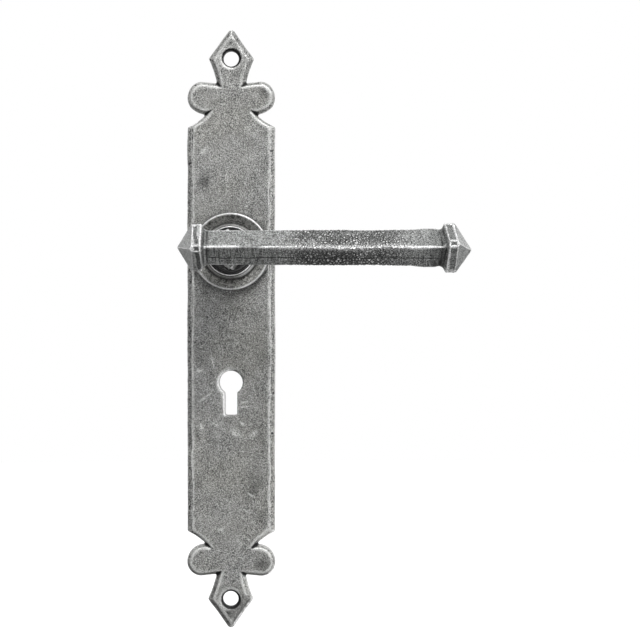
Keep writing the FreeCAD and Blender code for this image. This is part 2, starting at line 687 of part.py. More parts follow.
def make_end_block(along, outward, point_length, twist):
    """Flare, square band and four-sided point on one end of the bar."""
    centre, direction = bar_frame(along)
    direction = direction * outward
    bar_half = bar_half_diagonal(along)
    half = bar_half + BLOCK_GROWTH
    waist = centre + direction * BLOCK_WAIST_LENGTH
    band_start = centre + direction * BLOCK_FLARE_LENGTH
    point_start = band_start + direction * BLOCK_BAND_LENGTH
    tip = point_start + direction * point_length
    waist_twist = twist * BLOCK_WAIST_LENGTH / BLOCK_FLARE_LENGTH
    waist_half = bar_half + BLOCK_WAIST_GROWTH
    flare = Part.makeLoft(
        [
            cross_wire(centre, direction, bar_half, BAR_CORNER_CUT),
            cross_wire(waist, direction, waist_half, BLOCK_CORNER_CUT / 2, waist_twist),
            cross_wire(band_start, direction, half, BLOCK_CORNER_CUT, twist),
        ],
        True, True,
    )
    square = cross_wire(band_start, direction, half, 0, twist)
    band = Part.Face(square).extrude(direction * BLOCK_BAND_LENGTH)
    point = Part.makeLoft(
        [
            cross_wire(point_start, direction, half, 0, twist),
            cross_wire(tip, direction, BLOCK_POINT_HALF_DIAGONAL, 0, twist),
        ],
        True, True,
    )
    reach = half - BLOCK_CORNER_CUT
    corner_box = [(-reach, -reach), (reach, -reach), (reach, reach), (-reach, reach)]
    box_wire = cross_polygon(band_start, direction, corner_box, twist)
    limits = Part.Face(box_wire).extrude(direction * (BLOCK_BAND_LENGTH + point_length))
    return band.fuse(point).common(limits).fuse(flare)


def make_stem():
    """Diamond stem that spreads into the back of the bar."""
    half = stem_half_flat * ROOT_2
    flare_start = BAR_HEIGHT - STEM_FLARE_START
    plain = polygon_prism(diamond_points(half, STEM_CORNER_CUT), rose_face, flare_start)
    bar_half = bar_half_diagonal(-BAR_LEFT)
    wires = []
    for step in range(STEM_FLARE_STEPS + 1):
        share = step / STEM_FLARE_STEPS
        height = flare_start + STEM_FLARE_START * share
        spread = STEM_FLARE_SPREAD * share ** 3
        depth = half + (bar_half - half) * share ** 2
        points = [
            Vector(x * (half + spread) / half, -height, z * depth / half)
            for x, z in diamond_points(half, STEM_CORNER_CUT)
        ]
        wires.append(Part.makePolygon(points + points[:1]))
    return plain.fuse(Part.makeLoft(wires, True, False))


def grub_direction():
    """Outward normal of the stem's lower left flat, which carries the grub screw."""
    return Vector(-1, 0, -1).normalize()


def grub_outer_face():
    return FORWARD * GRUB_HEIGHT + grub_direction() * stem_half_flat


def make_lever_handle():
    """One casting: journal and tail, stem, hand bar and its two end blocks."""
    tail = double_flat_shaft(tail_radius, tail_half_flat, tail_end, tail_front)
    groove = ring(2 * tail_radius, groove_radius, groove_back, groove_front)
    journal = cylinder(journal_radius, tail_front, rose_face)
    solid = tail.cut(groove).fuse([
        journal, make_stem(), make_bar(),
        make_end_block(0.0, -1, LEFT_POINT_LENGTH, LEFT_BLOCK_TWIST),
        make_end_block(BAR_LENGTH, 1, RIGHT_POINT_LENGTH, RIGHT_BLOCK_TWIST),
    ])
    socket = polygon_prism(diamond_points(socket_half * ROOT_2), 0, SOCKET_DEPTH)
    outward = grub_direction()
    grub_hole = Part.makeCylinder(
        GRUB_RADIUS + THREAD_CLEARANCE, GRUB_LENGTH + STEM_WALL,
        grub_outer_face() - outward * GRUB_LENGTH, outward,
    )
    return solid.cut([socket, grub_hole]).removeSplitter()


def make_square_spindle():
    """Square bar with chamfered ends and a dimple under the grub screw."""
    low = SOCKET_DEPTH - SOCKET_CLEARANCE - SPINDLE_LENGTH
    high = SOCKET_DEPTH - SOCKET_CLEARANCE
    half = SPINDLE_SIDE / ROOT_2
    bar = polygon_prism(diamond_points(half), low, high)
    taper = half - SPINDLE_END_CHAMFER
    envelope = cylinder(half, low + SPINDLE_END_CHAMFER, high - SPINDLE_END_CHAMFER)
    envelope = envelope.fuse([
        cone(taper, half, low, low + SPINDLE_END_CHAMFER),
        cone(half, taper, high - SPINDLE_END_CHAMFER, high),
    ])
    outward = grub_direction()
    dimple = Part.makeCylinder(
        GRUB_RADIUS + THREAD_CLEARANCE, SPINDLE_SIDE,
        grub_outer_face() - outward * (GRUB_LENGTH + SEAT_CLEARANCE), outward,
    )
    return bar.common(envelope).cut(dimple)


def make_spindle_grub_screw():
    """Socket set screw, flush with the flat of the stem."""
    outward = grub_direction()
    outer = grub_outer_face()
    body = Part.makeCylinder(GRUB_RADIUS, GRUB_LENGTH, outer - outward * GRUB_LENGTH, outward)
    side = Vector(0, 1, 0)
    up = outward.cross(side)
    corner_radius = GRUB_HEX_ACROSS_FLATS / math.sqrt(3.0)
    corners = []
    for step in range(6):
        a = math.radians(60 * step)
        corners.append(outer + side * (corner_radius * math.cos(a)) + up * (corner_radius * math.sin(a)))
    hexagon = Part.Face(Part.makePolygon(corners + corners[:1]))
    return body.cut(hexagon.extrude(outward * -GRUB_HEX_DEPTH))


# ----------------------------------------------------------------- the parts

def all_parts():
    parts = {
        "backplate": make_backplate(),
        "rose": make_rose(),
        "bearing_sleeve": make_bearing_sleeve(),
        "rear_cover": make_rear_cover(),
        "rest_stop_pin": make_stop_pin(rest_stop_angle),
        "travel_stop_pin": make_stop_pin(travel_stop_angle),
        "return_spring": make_return_spring(),
        "thrust_washer": make_thrust_washer(),
        "drive_plate": make_drive_plate(),
        "circlip": make_circlip(),
        "lever_handle": make_lever_handle(),
        "square_spindle": make_square_spindle(),
        "spindle_grub_screw": make_spindle_grub_screw(),
    }
    for number, angle in enumerate(SCREW_ANGLES, start=1):
        parts["rose_screw_%d" % number] = make_rose_screw(angle)
    return parts


os.makedirs("parts", exist_ok=True)
for name, shape in all_parts().items():
    shape.exportStep("parts/%s.step" % name)
    print("%-20s solids %d  valid %s  volume %.1f" % (name, len(shape.Solids), shape.isValid(), shape.Volume))
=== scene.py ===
"""Looks of a cast lever lock handle in rubbed pewter patina. All lengths are in metres."""

import json
import math
from types import SimpleNamespace

import bpy
import numpy as np
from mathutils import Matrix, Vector


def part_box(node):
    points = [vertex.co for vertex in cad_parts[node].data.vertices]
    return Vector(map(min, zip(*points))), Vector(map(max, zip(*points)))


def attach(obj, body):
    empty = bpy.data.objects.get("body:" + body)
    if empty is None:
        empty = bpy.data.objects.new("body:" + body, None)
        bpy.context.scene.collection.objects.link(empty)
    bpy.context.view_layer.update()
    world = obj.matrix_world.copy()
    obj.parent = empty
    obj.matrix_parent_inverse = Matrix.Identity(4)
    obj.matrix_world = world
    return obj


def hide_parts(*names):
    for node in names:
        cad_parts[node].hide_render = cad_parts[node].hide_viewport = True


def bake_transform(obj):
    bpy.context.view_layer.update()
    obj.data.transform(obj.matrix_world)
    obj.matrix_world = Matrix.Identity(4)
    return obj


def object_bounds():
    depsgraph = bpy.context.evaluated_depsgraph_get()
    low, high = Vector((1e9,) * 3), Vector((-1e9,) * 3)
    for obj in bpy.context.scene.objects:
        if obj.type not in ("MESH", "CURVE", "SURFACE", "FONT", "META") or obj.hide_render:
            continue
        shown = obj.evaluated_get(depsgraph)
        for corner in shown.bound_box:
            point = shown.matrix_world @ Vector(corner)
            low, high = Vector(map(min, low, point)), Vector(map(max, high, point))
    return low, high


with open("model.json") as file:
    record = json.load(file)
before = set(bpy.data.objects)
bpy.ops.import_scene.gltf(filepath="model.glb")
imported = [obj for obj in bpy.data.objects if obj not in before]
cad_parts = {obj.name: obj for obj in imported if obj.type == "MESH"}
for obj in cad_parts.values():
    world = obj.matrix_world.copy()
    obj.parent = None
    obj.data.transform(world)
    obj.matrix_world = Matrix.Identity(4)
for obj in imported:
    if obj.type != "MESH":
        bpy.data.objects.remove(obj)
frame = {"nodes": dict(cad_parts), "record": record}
cad_low, cad_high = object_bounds()

MM = 0.001

# ---------------------------------------------------------------- driving values

# Camera, measured from the middle of the part's box.
CAMERA_LENS = 104.0            # mm, on a 36 mm sensor
CAMERA_DISTANCE = 810.0 * MM   # in front of the door face
CAMERA_ASIDE = -2.05 * MM
CAMERA_ABOVE = 3.8 * MM

# Mesh spacing of the three castings.
PLATE_PITCH = 0.46 * MM
ROSE_PITCH = 0.23 * MM
LEVER_PITCH = 0.355 * MM

# Height above its near and its broad surroundings at which a point of each casting is rubbed bare.
PLATE_WEAR = (0.036 * MM, 0.115 * MM)
ROSE_WEAR = (0.05 * MM, 0.16 * MM)
LEVER_WEAR = (0.055 * MM, 0.14 * MM)
WIDE_WEAR = 2.2                # reach of the widest surroundings, over that of the broad ones
NEAR_ROUNDS = 3                # rounds of evening out that give each kind of surroundings
BROAD_ROUNDS = 12
WIDE_ROUNDS = 45

# Hand bar. Its axis lies along X, in front of the door face.
BAR_HEIGHT = 49.0 * MM
BAR_HALF_DIAGONAL = 7.2 * MM
SCALED_FROM = 14.0 * MM        # stretch with the coarse scale, along +X
SCALED_TO = 84.0 * MM
SCALED_FADE = 18.0 * MM
COBBLE_SIZE = 1.15 * MM
COBBLE_DEPTH = 0.27 * MM
CRACK_SIZE = 1.25 * MM         # across the plates that the fine cracks part
SWAY_SIZE = 1.0 * MM           # the cracks sway by up to SWAY over about this length
SWAY = 0.9 * MM
SEAM_DROP = 4.5 * MM           # casting seam under the front ridge
SEAM_DEPTH = 0.20 * MM
SEAM_SPAN = 4.0 * MM           # stretch that the stored distance from the seam covers
BLOCK_START = 88.0 * MM        # where the bar meets its right-hand end block
BAR_START = -7.8 * MM          # where it leaves the left-hand one
BEND_START = 44.4 * MM         # from here on the bar curves gently towards the door
BEND_RADIUS = 340.0 * MM
STEM_RADIUS = 9.0 * MM         # round the spindle's axis, clear of the rose's collar
STEM_LEAN = 1.3 * MM           # how far the stem's lowest corner lies to the right

# End blocks of the bar: from where to where each recessed facet runs, the block's twist in degrees,
# how far it leans for each unit of height, and how dark the facet is.
BLOCK_FACETS = ((-12.9 * MM, -10.4 * MM, -5.0, 0.12, 0.85), (90.6 * MM, 94.0 * MM, 8.0, 0.05, 0.6))
BLOCK_CORNER = 1.1 * MM        # half the width of the flat on each corner
FACET_DEPTH = 0.20 * MM
LEFT_POINT = -13.4 * MM        # where the four-sided points start
RIGHT_POINT = 94.6 * MM
DULL_RIDGE_FROM = 4.5 * MM     # stretch of the front ridge that is hardly rubbed
DULL_RIDGE_TO = 15.5 * MM
UNDERSIDE_SHADE_FROM = 30.0 * MM          # stretch of painted shade on the lower face, under the front ridge
UNDERSIDE_SHADE_TO = 58.0 * MM

# Backplate.
BEVEL_DROP = 1.9 * MM          # from the plate's face down to the outer edge of its bevels
SIDES_ABOVE_TIP = 44.0 * MM    # its straight sides start this far above its lowest point
SIDES_BELOW_TOP = 42.0 * MM    # and end this far below its highest

# Rose, measured from the spindle axis.
ROSE_RADIUS = 16.8 * MM
COLLAR_FOOT = 12.1 * MM
LIP_RADIUS = 10.4 * MM
COLLAR_HEIGHT = 3.0 * MM
GLINT_WAY = (0.62, -0.45, -0.62)   # from the axis towards the middle of the painted glint on the collar's flare
RIM_WIDTH = 0.9 * MM
DISH_DEPTH = 0.75 * MM         # how far the rose's face sinks towards its collar

# Fixing holes of the backplate, with the width of their countersinks.
fixing = next(mount for mount in frame["record"]["mounts"] if mount["name"] == "fixing_holes")
HALF_SPACING = fixing["dims"]["spacing_y_mm"] / 2 * MM
FIXING_HOLES = (fixing["pos_m"][2] - HALF_SPACING, fixing["pos_m"][2] + HALF_SPACING)
HOLE_RIM = fixing["dims"]["hole_r_mm"] * MM + 0.95 * MM
# Middles of the painted shade in their countersinks, which lies a little to one side.
SHADED_BORES = ((0.0, FIXING_HOLES[0] - 0.3 * MM), (0.2 * MM, FIXING_HOLES[1] + 0.3 * MM))
keyhole = next(mount for mount in frame["record"]["mounts"] if mount["name"] == "keyhole")
KEYHOLE_HEIGHT = keyhole["pos_m"][2]
KEY_BOW_RADIUS = 5.1 * MM
KEY_SLOT_HALF_WIDTH = 2.6 * MM
KEY_SLOT_DROP = 14.3 * MM      # from the middle of the key's bow down to the slot's foot
KEY_CHAMFER = 0.7 * MM

# Marks of use on the plate's face: place, length, width and turn of each, in degrees.
SMUDGES = (
    (13.6 * MM, -136.0 * MM, 8 * MM, 5.5 * MM, 20), (14.8 * MM, 69.7 * MM, 6 * MM, 5 * MM, -30),
    (-8.4 * MM, -53.3 * MM, 1.2 * MM, 2.4 * MM, 20), (-11.5 * MM, 30.0 * MM, 5 * MM, 9 * MM, 0),
    (9.5 * MM, -104.0 * MM, 9 * MM, 5 * MM, 60), (5.0 * MM, -153.5 * MM, 8 * MM, 4 * MM, 50),
    (-0.5 * MM, -158.0 * MM, 5 * MM, 5 * MM, 0), (-7.6 * MM, -148.6 * MM, 4.2 * MM, 1.8 * MM, 70),
)
SCUFFS = (
    (-11.1 * MM, -63.5 * MM, 6 * MM, 0.9 * MM, 35), (-6.6 * MM, -75.4 * MM, 3.0 * MM, 1.0 * MM, -25),
    (5.4 * MM, -75.2 * MM, 3.0 * MM, 1.0 * MM, -20), (6.4 * MM, -67.7 * MM, 6 * MM, 0.9 * MM, 0),
    (-4.5 * MM, -121.2 * MM, 2.2 * MM, 1.7 * MM, 10), (7.0 * MM, -113.1 * MM, 5 * MM, 0.9 * MM, -12),
    (9.6 * MM, -79.6 * MM, 5 * MM, 1.2 * MM, 40), (-12.0 * MM, 44.0 * MM, 4 * MM, 1.1 * MM, 50),
    (-13.5 * MM, -52.0 * MM, 3.4 * MM, 2.0 * MM, 10), (1.8 * MM, -79.0 * MM, 5 * MM, 3.0 * MM, -20),
    (-13.0 * MM, -76.5 * MM, 1.6 * MM, 3.0 * MM, 0), (-8.0 * MM, -48.0 * MM, 1.0 * MM, 5.0 * MM, 8),
    (6.0 * MM, -65.6 * MM, 3 * MM, 0.8 * MM, 5), (8.6 * MM, -106.0 * MM, 3 * MM, 0.8 * MM, -40),
)


# Lamps: place, width, height, and power in watts. They all point at one spot.
LAMP_AIM = (0.03, 0.0, -0.03)
LAMPS = {
    "key_lamp": ((0.45, -1.0, 1.25), 0.8, 0.8, 28),
    "side_lamp": ((0.95, -0.38, -0.15), 0.2, 0.5, 3.8),
    "front_lamp": ((-0.25, -0.95, -0.08), 0.4, 0.4, 2.1),
}
GROUND_LIGHT = 0.03            # brightness of the room below the part, and above it
SKY_LIGHT = 0.48
FLOOR_DROP = 50.0 * MM         # below the part
FLOOR_REACH = 1.6


# ---------------------------------------------------------------- point fields

def lattice_value(cells, seed):
    """Repeatable random number between 0 and 1 for each whole-numbered cell."""
    cells = cells.astype(np.int64)
    mixed = cells[..., 0] * 73856093 ^ cells[..., 1] * 19349663 ^ cells[..., 2] * 83492791
    mixed = (mixed ^ seed * 2654435761) & 0xFFFFFFFF
    mixed = ((mixed ^ (mixed >> 15)) * 2246822519) & 0xFFFFFFFF
    mixed = ((mixed ^ (mixed >> 13)) * 3266489917) & 0xFFFFFFFF
    return ((mixed ^ (mixed >> 16)) & 0xFFFFFF) / float(0xFFFFFF)


def soft_noise(points, size, seed):
    """Smooth noise between -1 and 1. Its lumps are one size across, or one size for each axis."""
    spots = points / np.asarray(size)
    base = np.floor(spots)
    part = spots - base
    part = part * part * (3 - 2 * part)
    total = np.zeros(len(points))
    for corner in np.ndindex(2, 2, 2):
        corner = np.array(corner)
        share = np.prod(np.where(corner == 1, part, 1 - part), axis=1)
        total += share * lattice_value(base + corner, seed)
    return total * 2 - 1


def rough_noise(points, size, seed, octaves=3):
    """Sum of soft noises, each half as large and half as strong as the last."""
    total = np.zeros(len(points))
    for octave in range(octaves):
        total += soft_noise(points, np.asarray(size) / 2 ** octave, seed + octave) / 2 ** octave
    return total / (2 - 2 ** (1 - octaves))


def cobbles(points, size, seed):
    """1 on the crown of each cobble, 0 in the cracks between them; a cobble is about one size across."""
    spots = points / size
    base = np.floor(spots)
    nearest = np.full(len(points), 9.0)
    second = np.full(len(points), 9.0)
    for step in np.ndindex(3, 3, 3):
        cell = base + np.array(step) - 1
        middle = np.stack([cell[:, axis] + lattice_value(cell, seed + axis) for axis in range(3)], axis=1)
        away = np.linalg.norm(spots - middle, axis=1)
        second = np.minimum(second, np.maximum(nearest, away))
        nearest = np.minimum(nearest, away)
    return smooth_step(second - nearest, 0.0, 0.45)


def smooth_step(values, low, high):
    share = np.clip((values - low) / (high - low), 0, 1)
    return share * share * (3 - 2 * share)


def window(values, low, high, fade):
    """1 between low and high, fading to 0 over the given length inside each end."""
    return smooth_step(values, low, low + fade) * (1 - smooth_step(values, high - fade, high))


# ---------------------------------------------------------------- meshes

def add_piece(name, mesh):
    piece = bpy.data.objects.new(name, mesh)
    bpy.context.scene.collection.objects.link(piece)
    return piece


def apply_modifiers(piece):
    bpy.context.view_layer.update()
    shaped = piece.evaluated_get(bpy.context.evaluated_depsgraph_get())
    mesh = bpy.data.meshes.new_from_object(shaped)
    piece.modifiers.clear()
    piece.data = mesh
    mesh.name = piece.name


def dense_copy(node, name, pitch):
    """Evenly meshed copy of a CAD casting, laid on the CAD surface."""
    source = frame["nodes"][node]
    piece = add_piece(name, source.data.copy())
    piece.data.materials.clear()
    remesh = piece.modifiers.new("even_mesh", "REMESH")
    remesh.mode = "VOXEL"
    remesh.voxel_size = pitch
    seat = piece.modifiers.new("on_the_surface", "SHRINKWRAP")
    seat.target = source
    seat.wrap_method = "NEAREST_SURFACEPOINT"
    apply_modifiers(piece)
    return piece


def read_points(mesh):
    points = np.empty(len(mesh.vertices) * 3)
    mesh.vertices.foreach_get("co", points)
    return points.reshape(-1, 3)


def write_points(mesh, points):
    mesh.vertices.foreach_set("co", points.ravel())
    mesh.update()


def read_normals(mesh):
    normals = np.empty(len(mesh.vertices) * 3)
    mesh.vertex_normals.foreach_get("vector", normals)
    return normals.reshape(-1, 3)


def read_edges(mesh):
    ends = np.empty(len(mesh.edges) * 2, dtype=np.int64)
    mesh.edges.foreach_get("vertices", ends)
    return ends.reshape(-1, 2)


def evened(values, edges, rounds):
    """Each point's value pulled to the mean of its neighbours', some rounds over."""
    first, second = edges.T
    count = len(values)
    degree = np.bincount(first, minlength=count) + np.bincount(second, minlength=count)
    values = values.copy()
    for _ in range(rounds):
        columns = [
            np.bincount(first, weights=column[second], minlength=count)
            + np.bincount(second, weights=column[first], minlength=count)
            for column in values.T
        ]
        values = 0.5 * values + 0.5 * np.stack(columns, axis=1) / degree[:, None]
    return values


def store(mesh, name, values):
    attribute = mesh.attributes.new(name, "FLOAT", "POINT")
    attribute.data.foreach_set("value", np.clip(values, 0, 1).astype(np.float32))


def mark_wear(mesh, reaches, rubbing=1.0):
    """Stores how far each point stands proud of its surroundings, and how far it is sunk.

    The rubbing is the share of wear that a hand can reach, for each point or for all.
    """
    points = read_points(mesh)
    normals = read_normals(mesh)
    edges = read_edges(mesh)
    fine_reach, broad_reach = reaches
    near = evened(points, edges, NEAR_ROUNDS)
    around = evened(near, edges, BROAD_ROUNDS)
    far = evened(around, edges, WIDE_ROUNDS)
    fine = np.einsum("ij,ij->i", points - near, normals) / fine_reach
    broad = np.einsum("ij,ij->i", points - around, normals) / broad_reach
    wide = np.einsum("ij,ij->i", points - far, normals) / (WIDE_WEAR * broad_reach)
    store(mesh, "worn", smooth_step(fine, 0.15, 1.0) * rubbing)
    store(mesh, "proud", smooth_step(broad, 0.15, 1.0) * rubbing)
    store(mesh, "sunk", smooth_step(np.maximum(-fine, -broad), 0.1, 1.0))
    store(mesh, "sheltered", smooth_step(-wide, 0.1, 1.0))


def highest_of(*fields):
    """The largest of several fields at each point."""
    return np.maximum.reduce(fields)


def facing_side(normals, side):
    """1 on bevels that face right (side is 1) or left (side is -1)."""
    return smooth_step(side * normals[:, 0], 0.15, 0.4)


def from_axis(points):
    """Distance of each point from the spindle's axis."""
    return np.hypot(points[:, 0], points[:, 2])


def from_keyhole(points):
    """How far each point lies outside the keyhole."""
    below = KEYHOLE_HEIGHT - points[:, 2]
    bow = np.hypot(points[:, 0], below) - KEY_BOW_RADIUS
    slot = np.maximum(np.abs(points[:, 0]) - KEY_SLOT_HALF_WIDTH, below - KEY_SLOT_DROP)
    slot = np.maximum(slot, -below)
    return np.minimum(bow, slot)


# ---------------------------------------------------------------- castings

def square_slot_foot(points, face):
    """Fills the chamfer at the foot of the key's slot, which is square there, up to the plate's face."""
    below = KEYHOLE_HEIGHT - points[:, 2]
    beside = np.abs(points[:, 0]) < KEY_SLOT_HALF_WIDTH + 0.6 * KEY_CHAMFER
    at_foot = (below > KEY_SLOT_DROP + 0.1 * MM) & (below < KEY_SLOT_DROP + 1.3 * KEY_CHAMFER)
    squared = points.copy()
    squared[beside & at_foot & (points[:, 1] < face + 1.3 * KEY_CHAMFER), 1] = face
    return squared


def drift_plate(points, low, high):
    """Unevenness of the hand-finished pattern: wavering sides and a lower finial that hangs a little."""
    flat = points * (1, 0, 1)
    moved = points.copy()
    moved[:, 0] += 0.13 * MM * soft_noise(flat, 9 * MM, 101)
    moved[:, 2] += 0.10 * MM * soft_noise(flat, 9 * MM, 102)
    above_tip = points[:, 2] - low.z
    below_top = high.z - points[:, 2]
    right = smooth_step(points[:, 0], -3 * MM, 6 * MM)
    lower_lobes = window(above_tip, 19 * MM, 47 * MM, 7 * MM)
    lower_spear = 1 - smooth_step(above_tip, 14 * MM, 26 * MM)
    moved[:, 2] -= (0.50 + 0.20 * right) * MM * lower_lobes
    moved[:, 0] -= 0.25 * MM * lower_spear
    shoulder = window(np.abs(points[:, 0]), 10 * MM, 20.5 * MM, 4 * MM)
    upper_shoulders = shoulder * window(below_top, 33 * MM, 45 * MM, 3 * MM)
    lower_shoulders = shoulder * window(above_tip, 36 * MM, 45 * MM, 3 * MM)
    moved[:, 2] += 0.40 * MM * upper_shoulders - 0.25 * MM * lower_shoulders
    outer = smooth_step(np.abs(points[:, 0]), 4.5 * MM, 8 * MM)
    lower_corners = outer * window(above_tip, 6 * MM, 22 * MM, 6 * MM)
    upper_corners = outer * window(below_top, 6 * MM, 28 * MM, 6 * MM)
    moved[:, 2] += 0.4 * MM * upper_corners - 0.5 * MM * lower_corners
    return moved


def edge_lines(normals, slope, edges):
    """Narrow band along each inner edge of the bevels, and the way out across it."""
    soft = evened(np.column_stack([normals, slope]), edges, 5)
    inner = smooth_step(-soft[:, 1], 0.55, 0.8)
    outward = soft[:, :3] * (1, 0, 1)
    outward = outward / np.maximum(np.linalg.norm(outward, axis=1), 0.05)[:, None]
    return inner * smooth_step(4 * soft[:, 3] * (1 - soft[:, 3]), 0.35, 0.9), outward


def painted_bevel_highlights(points, normals, low, high):
    """Painted highlights on the bevels: low down on those facing right, and along the shoulders."""
    above_tip = points[:, 2] - low.z
    below_top = high.z - points[:, 2]
    rightward = facing_side(normals, 1)
    leftward = facing_side(normals, -1)
    downward = smooth_step(-normals[:, 2], 0.0, 0.25)
    foot = rightward * (0.25 + 0.75 * downward) * (1 - smooth_step(above_tip, 26 * MM, 30 * MM))
    lower_shoulder = rightward * downward * window(above_tip, 18 * MM, 48 * MM, 3 * MM)
    upper_shoulder = leftward * window(below_top, 35 * MM, 46 * MM, 3 * MM)
    return highest_of(foot, lower_shoulder, upper_shoulder)


def streaks_along(points, outward):
    """Light streaks that run along the bevels, whose outward way is given."""
    across = points[:, 0] * outward[:, 0] + points[:, 2] * outward[:, 2]
    along = points[:, 2] * outward[:, 0] - points[:, 0] * outward[:, 2]
    return soft_noise(np.stack([across, along / 6, 0 * across], axis=1), 0.9 * MM, 47)


def dab(points, aside, height, length, width, degrees):
    """1 in the middle of a long or round spot on the plate's face, fading out round it."""
    turn = math.radians(degrees)
    rightward, upward = points[:, 0] - aside, points[:, 2] - height
    along = (rightward * math.cos(turn) + upward * math.sin(turn)) / (length / 2)
    across = (upward * math.cos(turn) - rightward * math.sin(turn)) / (width / 2)
    return np.exp(-along ** 2 - across ** 2)


def shaded_countersinks(points):
    """1 in the two fixing holes, where shade is painted in their countersinks."""
    soiled = np.zeros(len(points))
    for aside, height in SHADED_BORES:
        away = np.hypot(points[:, 0] - aside, points[:, 2] - height)
        soiled += 1 - smooth_step(away, HOLE_RIM - 0.15 * MM, HOLE_RIM + 0.15 * MM)
    return soiled


def shape_plate(mesh, low, high):
    """Makes the plate's front uneven by hand and grain; returns the fields that its marks of use go by."""
    thickness = -low.y
    points = evened(read_points(mesh), read_edges(mesh), 2)
    points = drift_plate(square_slot_foot(points, low.y), low, high)
    write_points(mesh, points)
    normals = read_normals(mesh)
    front = smooth_step(-points[:, 1], 0.10 * thickness, 0.5 * thickness)
    slope = window(np.abs(normals[:, 1]), 0.15, 0.97, 0.15)
    edge_line, outward = edge_lines(normals, slope * front, read_edges(mesh))
    long_sides = window(points[:, 2], low.z + SIDES_ABOVE_TIP, high.z - SIDES_BELOW_TOP, 4 * MM)
    waver = 0.85 * MM * edge_line * long_sides * rough_noise(points, 13 * MM, 39, 4)
    points += outward * waver[:, None]
    grain = 0.035 * MM * rough_noise(points, 1.2 * MM, 11)
    swell = 0.05 * MM * soft_noise(points, 7.0 * MM, 31)
    hand_file = (0.16 + 0.22 * long_sides) * MM * rough_noise(points, 6.0 * MM, 35, 3) * slope
    chips = smooth_step(rough_noise(points, (1.4 * MM, 3 * MM, 2.2 * MM), 37, 3), 0.42, 0.62)
    nicks = -0.16 * MM * chips * slope
    points = points + normals * ((grain + swell + hand_file + nicks) * front)[:, None]
    write_points(mesh, points)
    return SimpleNamespace(
        points=points, normals=normals, front=front, slope=slope,
        edge_line=edge_line, outward=outward, long_sides=long_sides)


def mark_plate(mesh, plate, low, high):
    """Stores where the plate is rubbed bright, where it is dull, and its marks of use."""
    points, normals, front, slope = plate.points, plate.normals, plate.front, plate.slope
    off_key = from_keyhole(points)
    above_bow = np.maximum(points[:, 2] - KEYHOLE_HEIGHT, 0)
    left_of_key = smooth_step(-points[:, 0] + 0.5 * above_bow, 0.5 * MM, 2.5 * MM)
    by_key = 1 - smooth_step(off_key, 1.2 * MM, 1.8 * MM)
    below_face = points[:, 1] - low.y

    # The right half of the upper spear is rubbed less and darkened as painted shade; the inner right of the
    # lower spear is rubbed less and darker.
    right_half = smooth_step(points[:, 0], -1 * MM, 1 * MM)
    dimmed_upper_right = 0.6 * right_half * smooth_step(points[:, 2], high.z - 26 * MM, high.z - 20 * MM)
    lower_spear = window(points[:, 2], low.z, low.z + 17 * MM, 4 * MM)
    foot_right = smooth_step(points[:, 0] + 2 * MM, 0, 4 * MM) * lower_spear
    foot_right *= 1 - smooth_step(below_face, 0.45 * BEVEL_DROP, 0.7 * BEVEL_DROP)
    foot_right *= 0.8 + 0.4 * rough_noise(points, 4 * MM, 49)
    less_rubbed = 1 - 0.8 * foot_right
    # Wear is held back on the right of the keyhole, so that its painted highlight shows on the left only.
    mark_wear(mesh, PLATE_WEAR, (1 - 0.85 * by_key * (1 - left_of_key)) * (1 - dimmed_upper_right) * less_rubbed)

    # Painted shade: under the rose, of the handle, in the fixing holes and on some bevels; a dark line at the
    # rose's foot.
    ragged = 1.2 * MM * soft_noise(points, 3 * MM, 41)
    below_rose = from_axis(points + (0, 0, 0.8 * MM)) + ragged
    rose_foot = 1 - smooth_step(below_rose, ROSE_RADIUS, ROSE_RADIUS + 3.5 * MM)
    # The handle's broad painted shadow, centred below the spindle.
    halo = 0.38 * np.exp(-(from_axis(points + (0, 0, 12 * MM)) / (38 * MM)) ** 2)
    joint = 1 - smooth_step(from_axis(points), ROSE_RADIUS + 0.2 * MM, ROSE_RADIUS + 1.0 * MM)
    # Bevels that face left low on the lower spear are darkened as painted shade.
    lower_left = facing_side(normals, -1) * (1 - smooth_step(points[:, 2], low.z + 22 * MM, low.z + 28 * MM))
    dimmed_bevels = (0.6 * dimmed_upper_right + 1.1 * lower_left) * slope * front + foot_right
    store(mesh, "dirt_and_painted_shade", highest_of(np.maximum(rose_foot, joint) * front, halo, dimmed_bevels))
    store(mesh, "bores", shaded_countersinks(points))
    store(mesh, "clean", 1 - smooth_step(off_key, 4 * MM, 6 * MM))

    # The key's chamfer gets a painted highlight on its left; the bevels' edges and slopes are rubbed bright,
    # some with painted highlights.
    key_chamfer_highlight = 1 - smooth_step(off_key, KEY_CHAMFER, KEY_CHAMFER + 0.25 * MM)
    facing = smooth_step(-normals[:, 1], 0.3, 0.6) * (points[:, 2] > KEYHOLE_HEIGHT - KEY_SLOT_DROP)
    store(mesh, "key_chamfer_highlight", key_chamfer_highlight * facing * left_of_key)
    gaps = 1 - smooth_step(rough_noise(points, 2.2 * MM, 43, 3), -0.35, 0.25)
    broken = 1 - (0.4 + 0.45 * plate.long_sides) * gaps
    store(mesh, "edge_line", plate.edge_line * front * broken * less_rubbed)
    leftward = facing_side(normals, -1) * plate.long_sides
    store(mesh, "slope", slope * front * (0.65 + 0.35 * leftward) * less_rubbed)
    streaks = 0.4 + 0.6 * smooth_step(streaks_along(points, plate.outward), -0.3, 0.3)
    outer_part = smooth_step(below_face, 0.4 * BEVEL_DROP, 0.65 * BEVEL_DROP)
    store(mesh, "bevel_highlight", slope * front * streaks * outer_part * painted_bevel_highlights(points, normals, low, high))
    store(mesh, "smudges", sum(dab(points, *place) for place in SMUDGES) * front)
    store(mesh, "scuffs", sum(dab(points, *place) for place in SCUFFS) * front)


def make_plate():
    piece = dense_copy("backplate", "plate_casting", PLATE_PITCH)
    low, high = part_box("backplate")
    mark_plate(piece.data, shape_plate(piece.data, low, high), low, high)
    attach(piece, "backplate_assembly")
    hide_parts("backplate")
    return piece


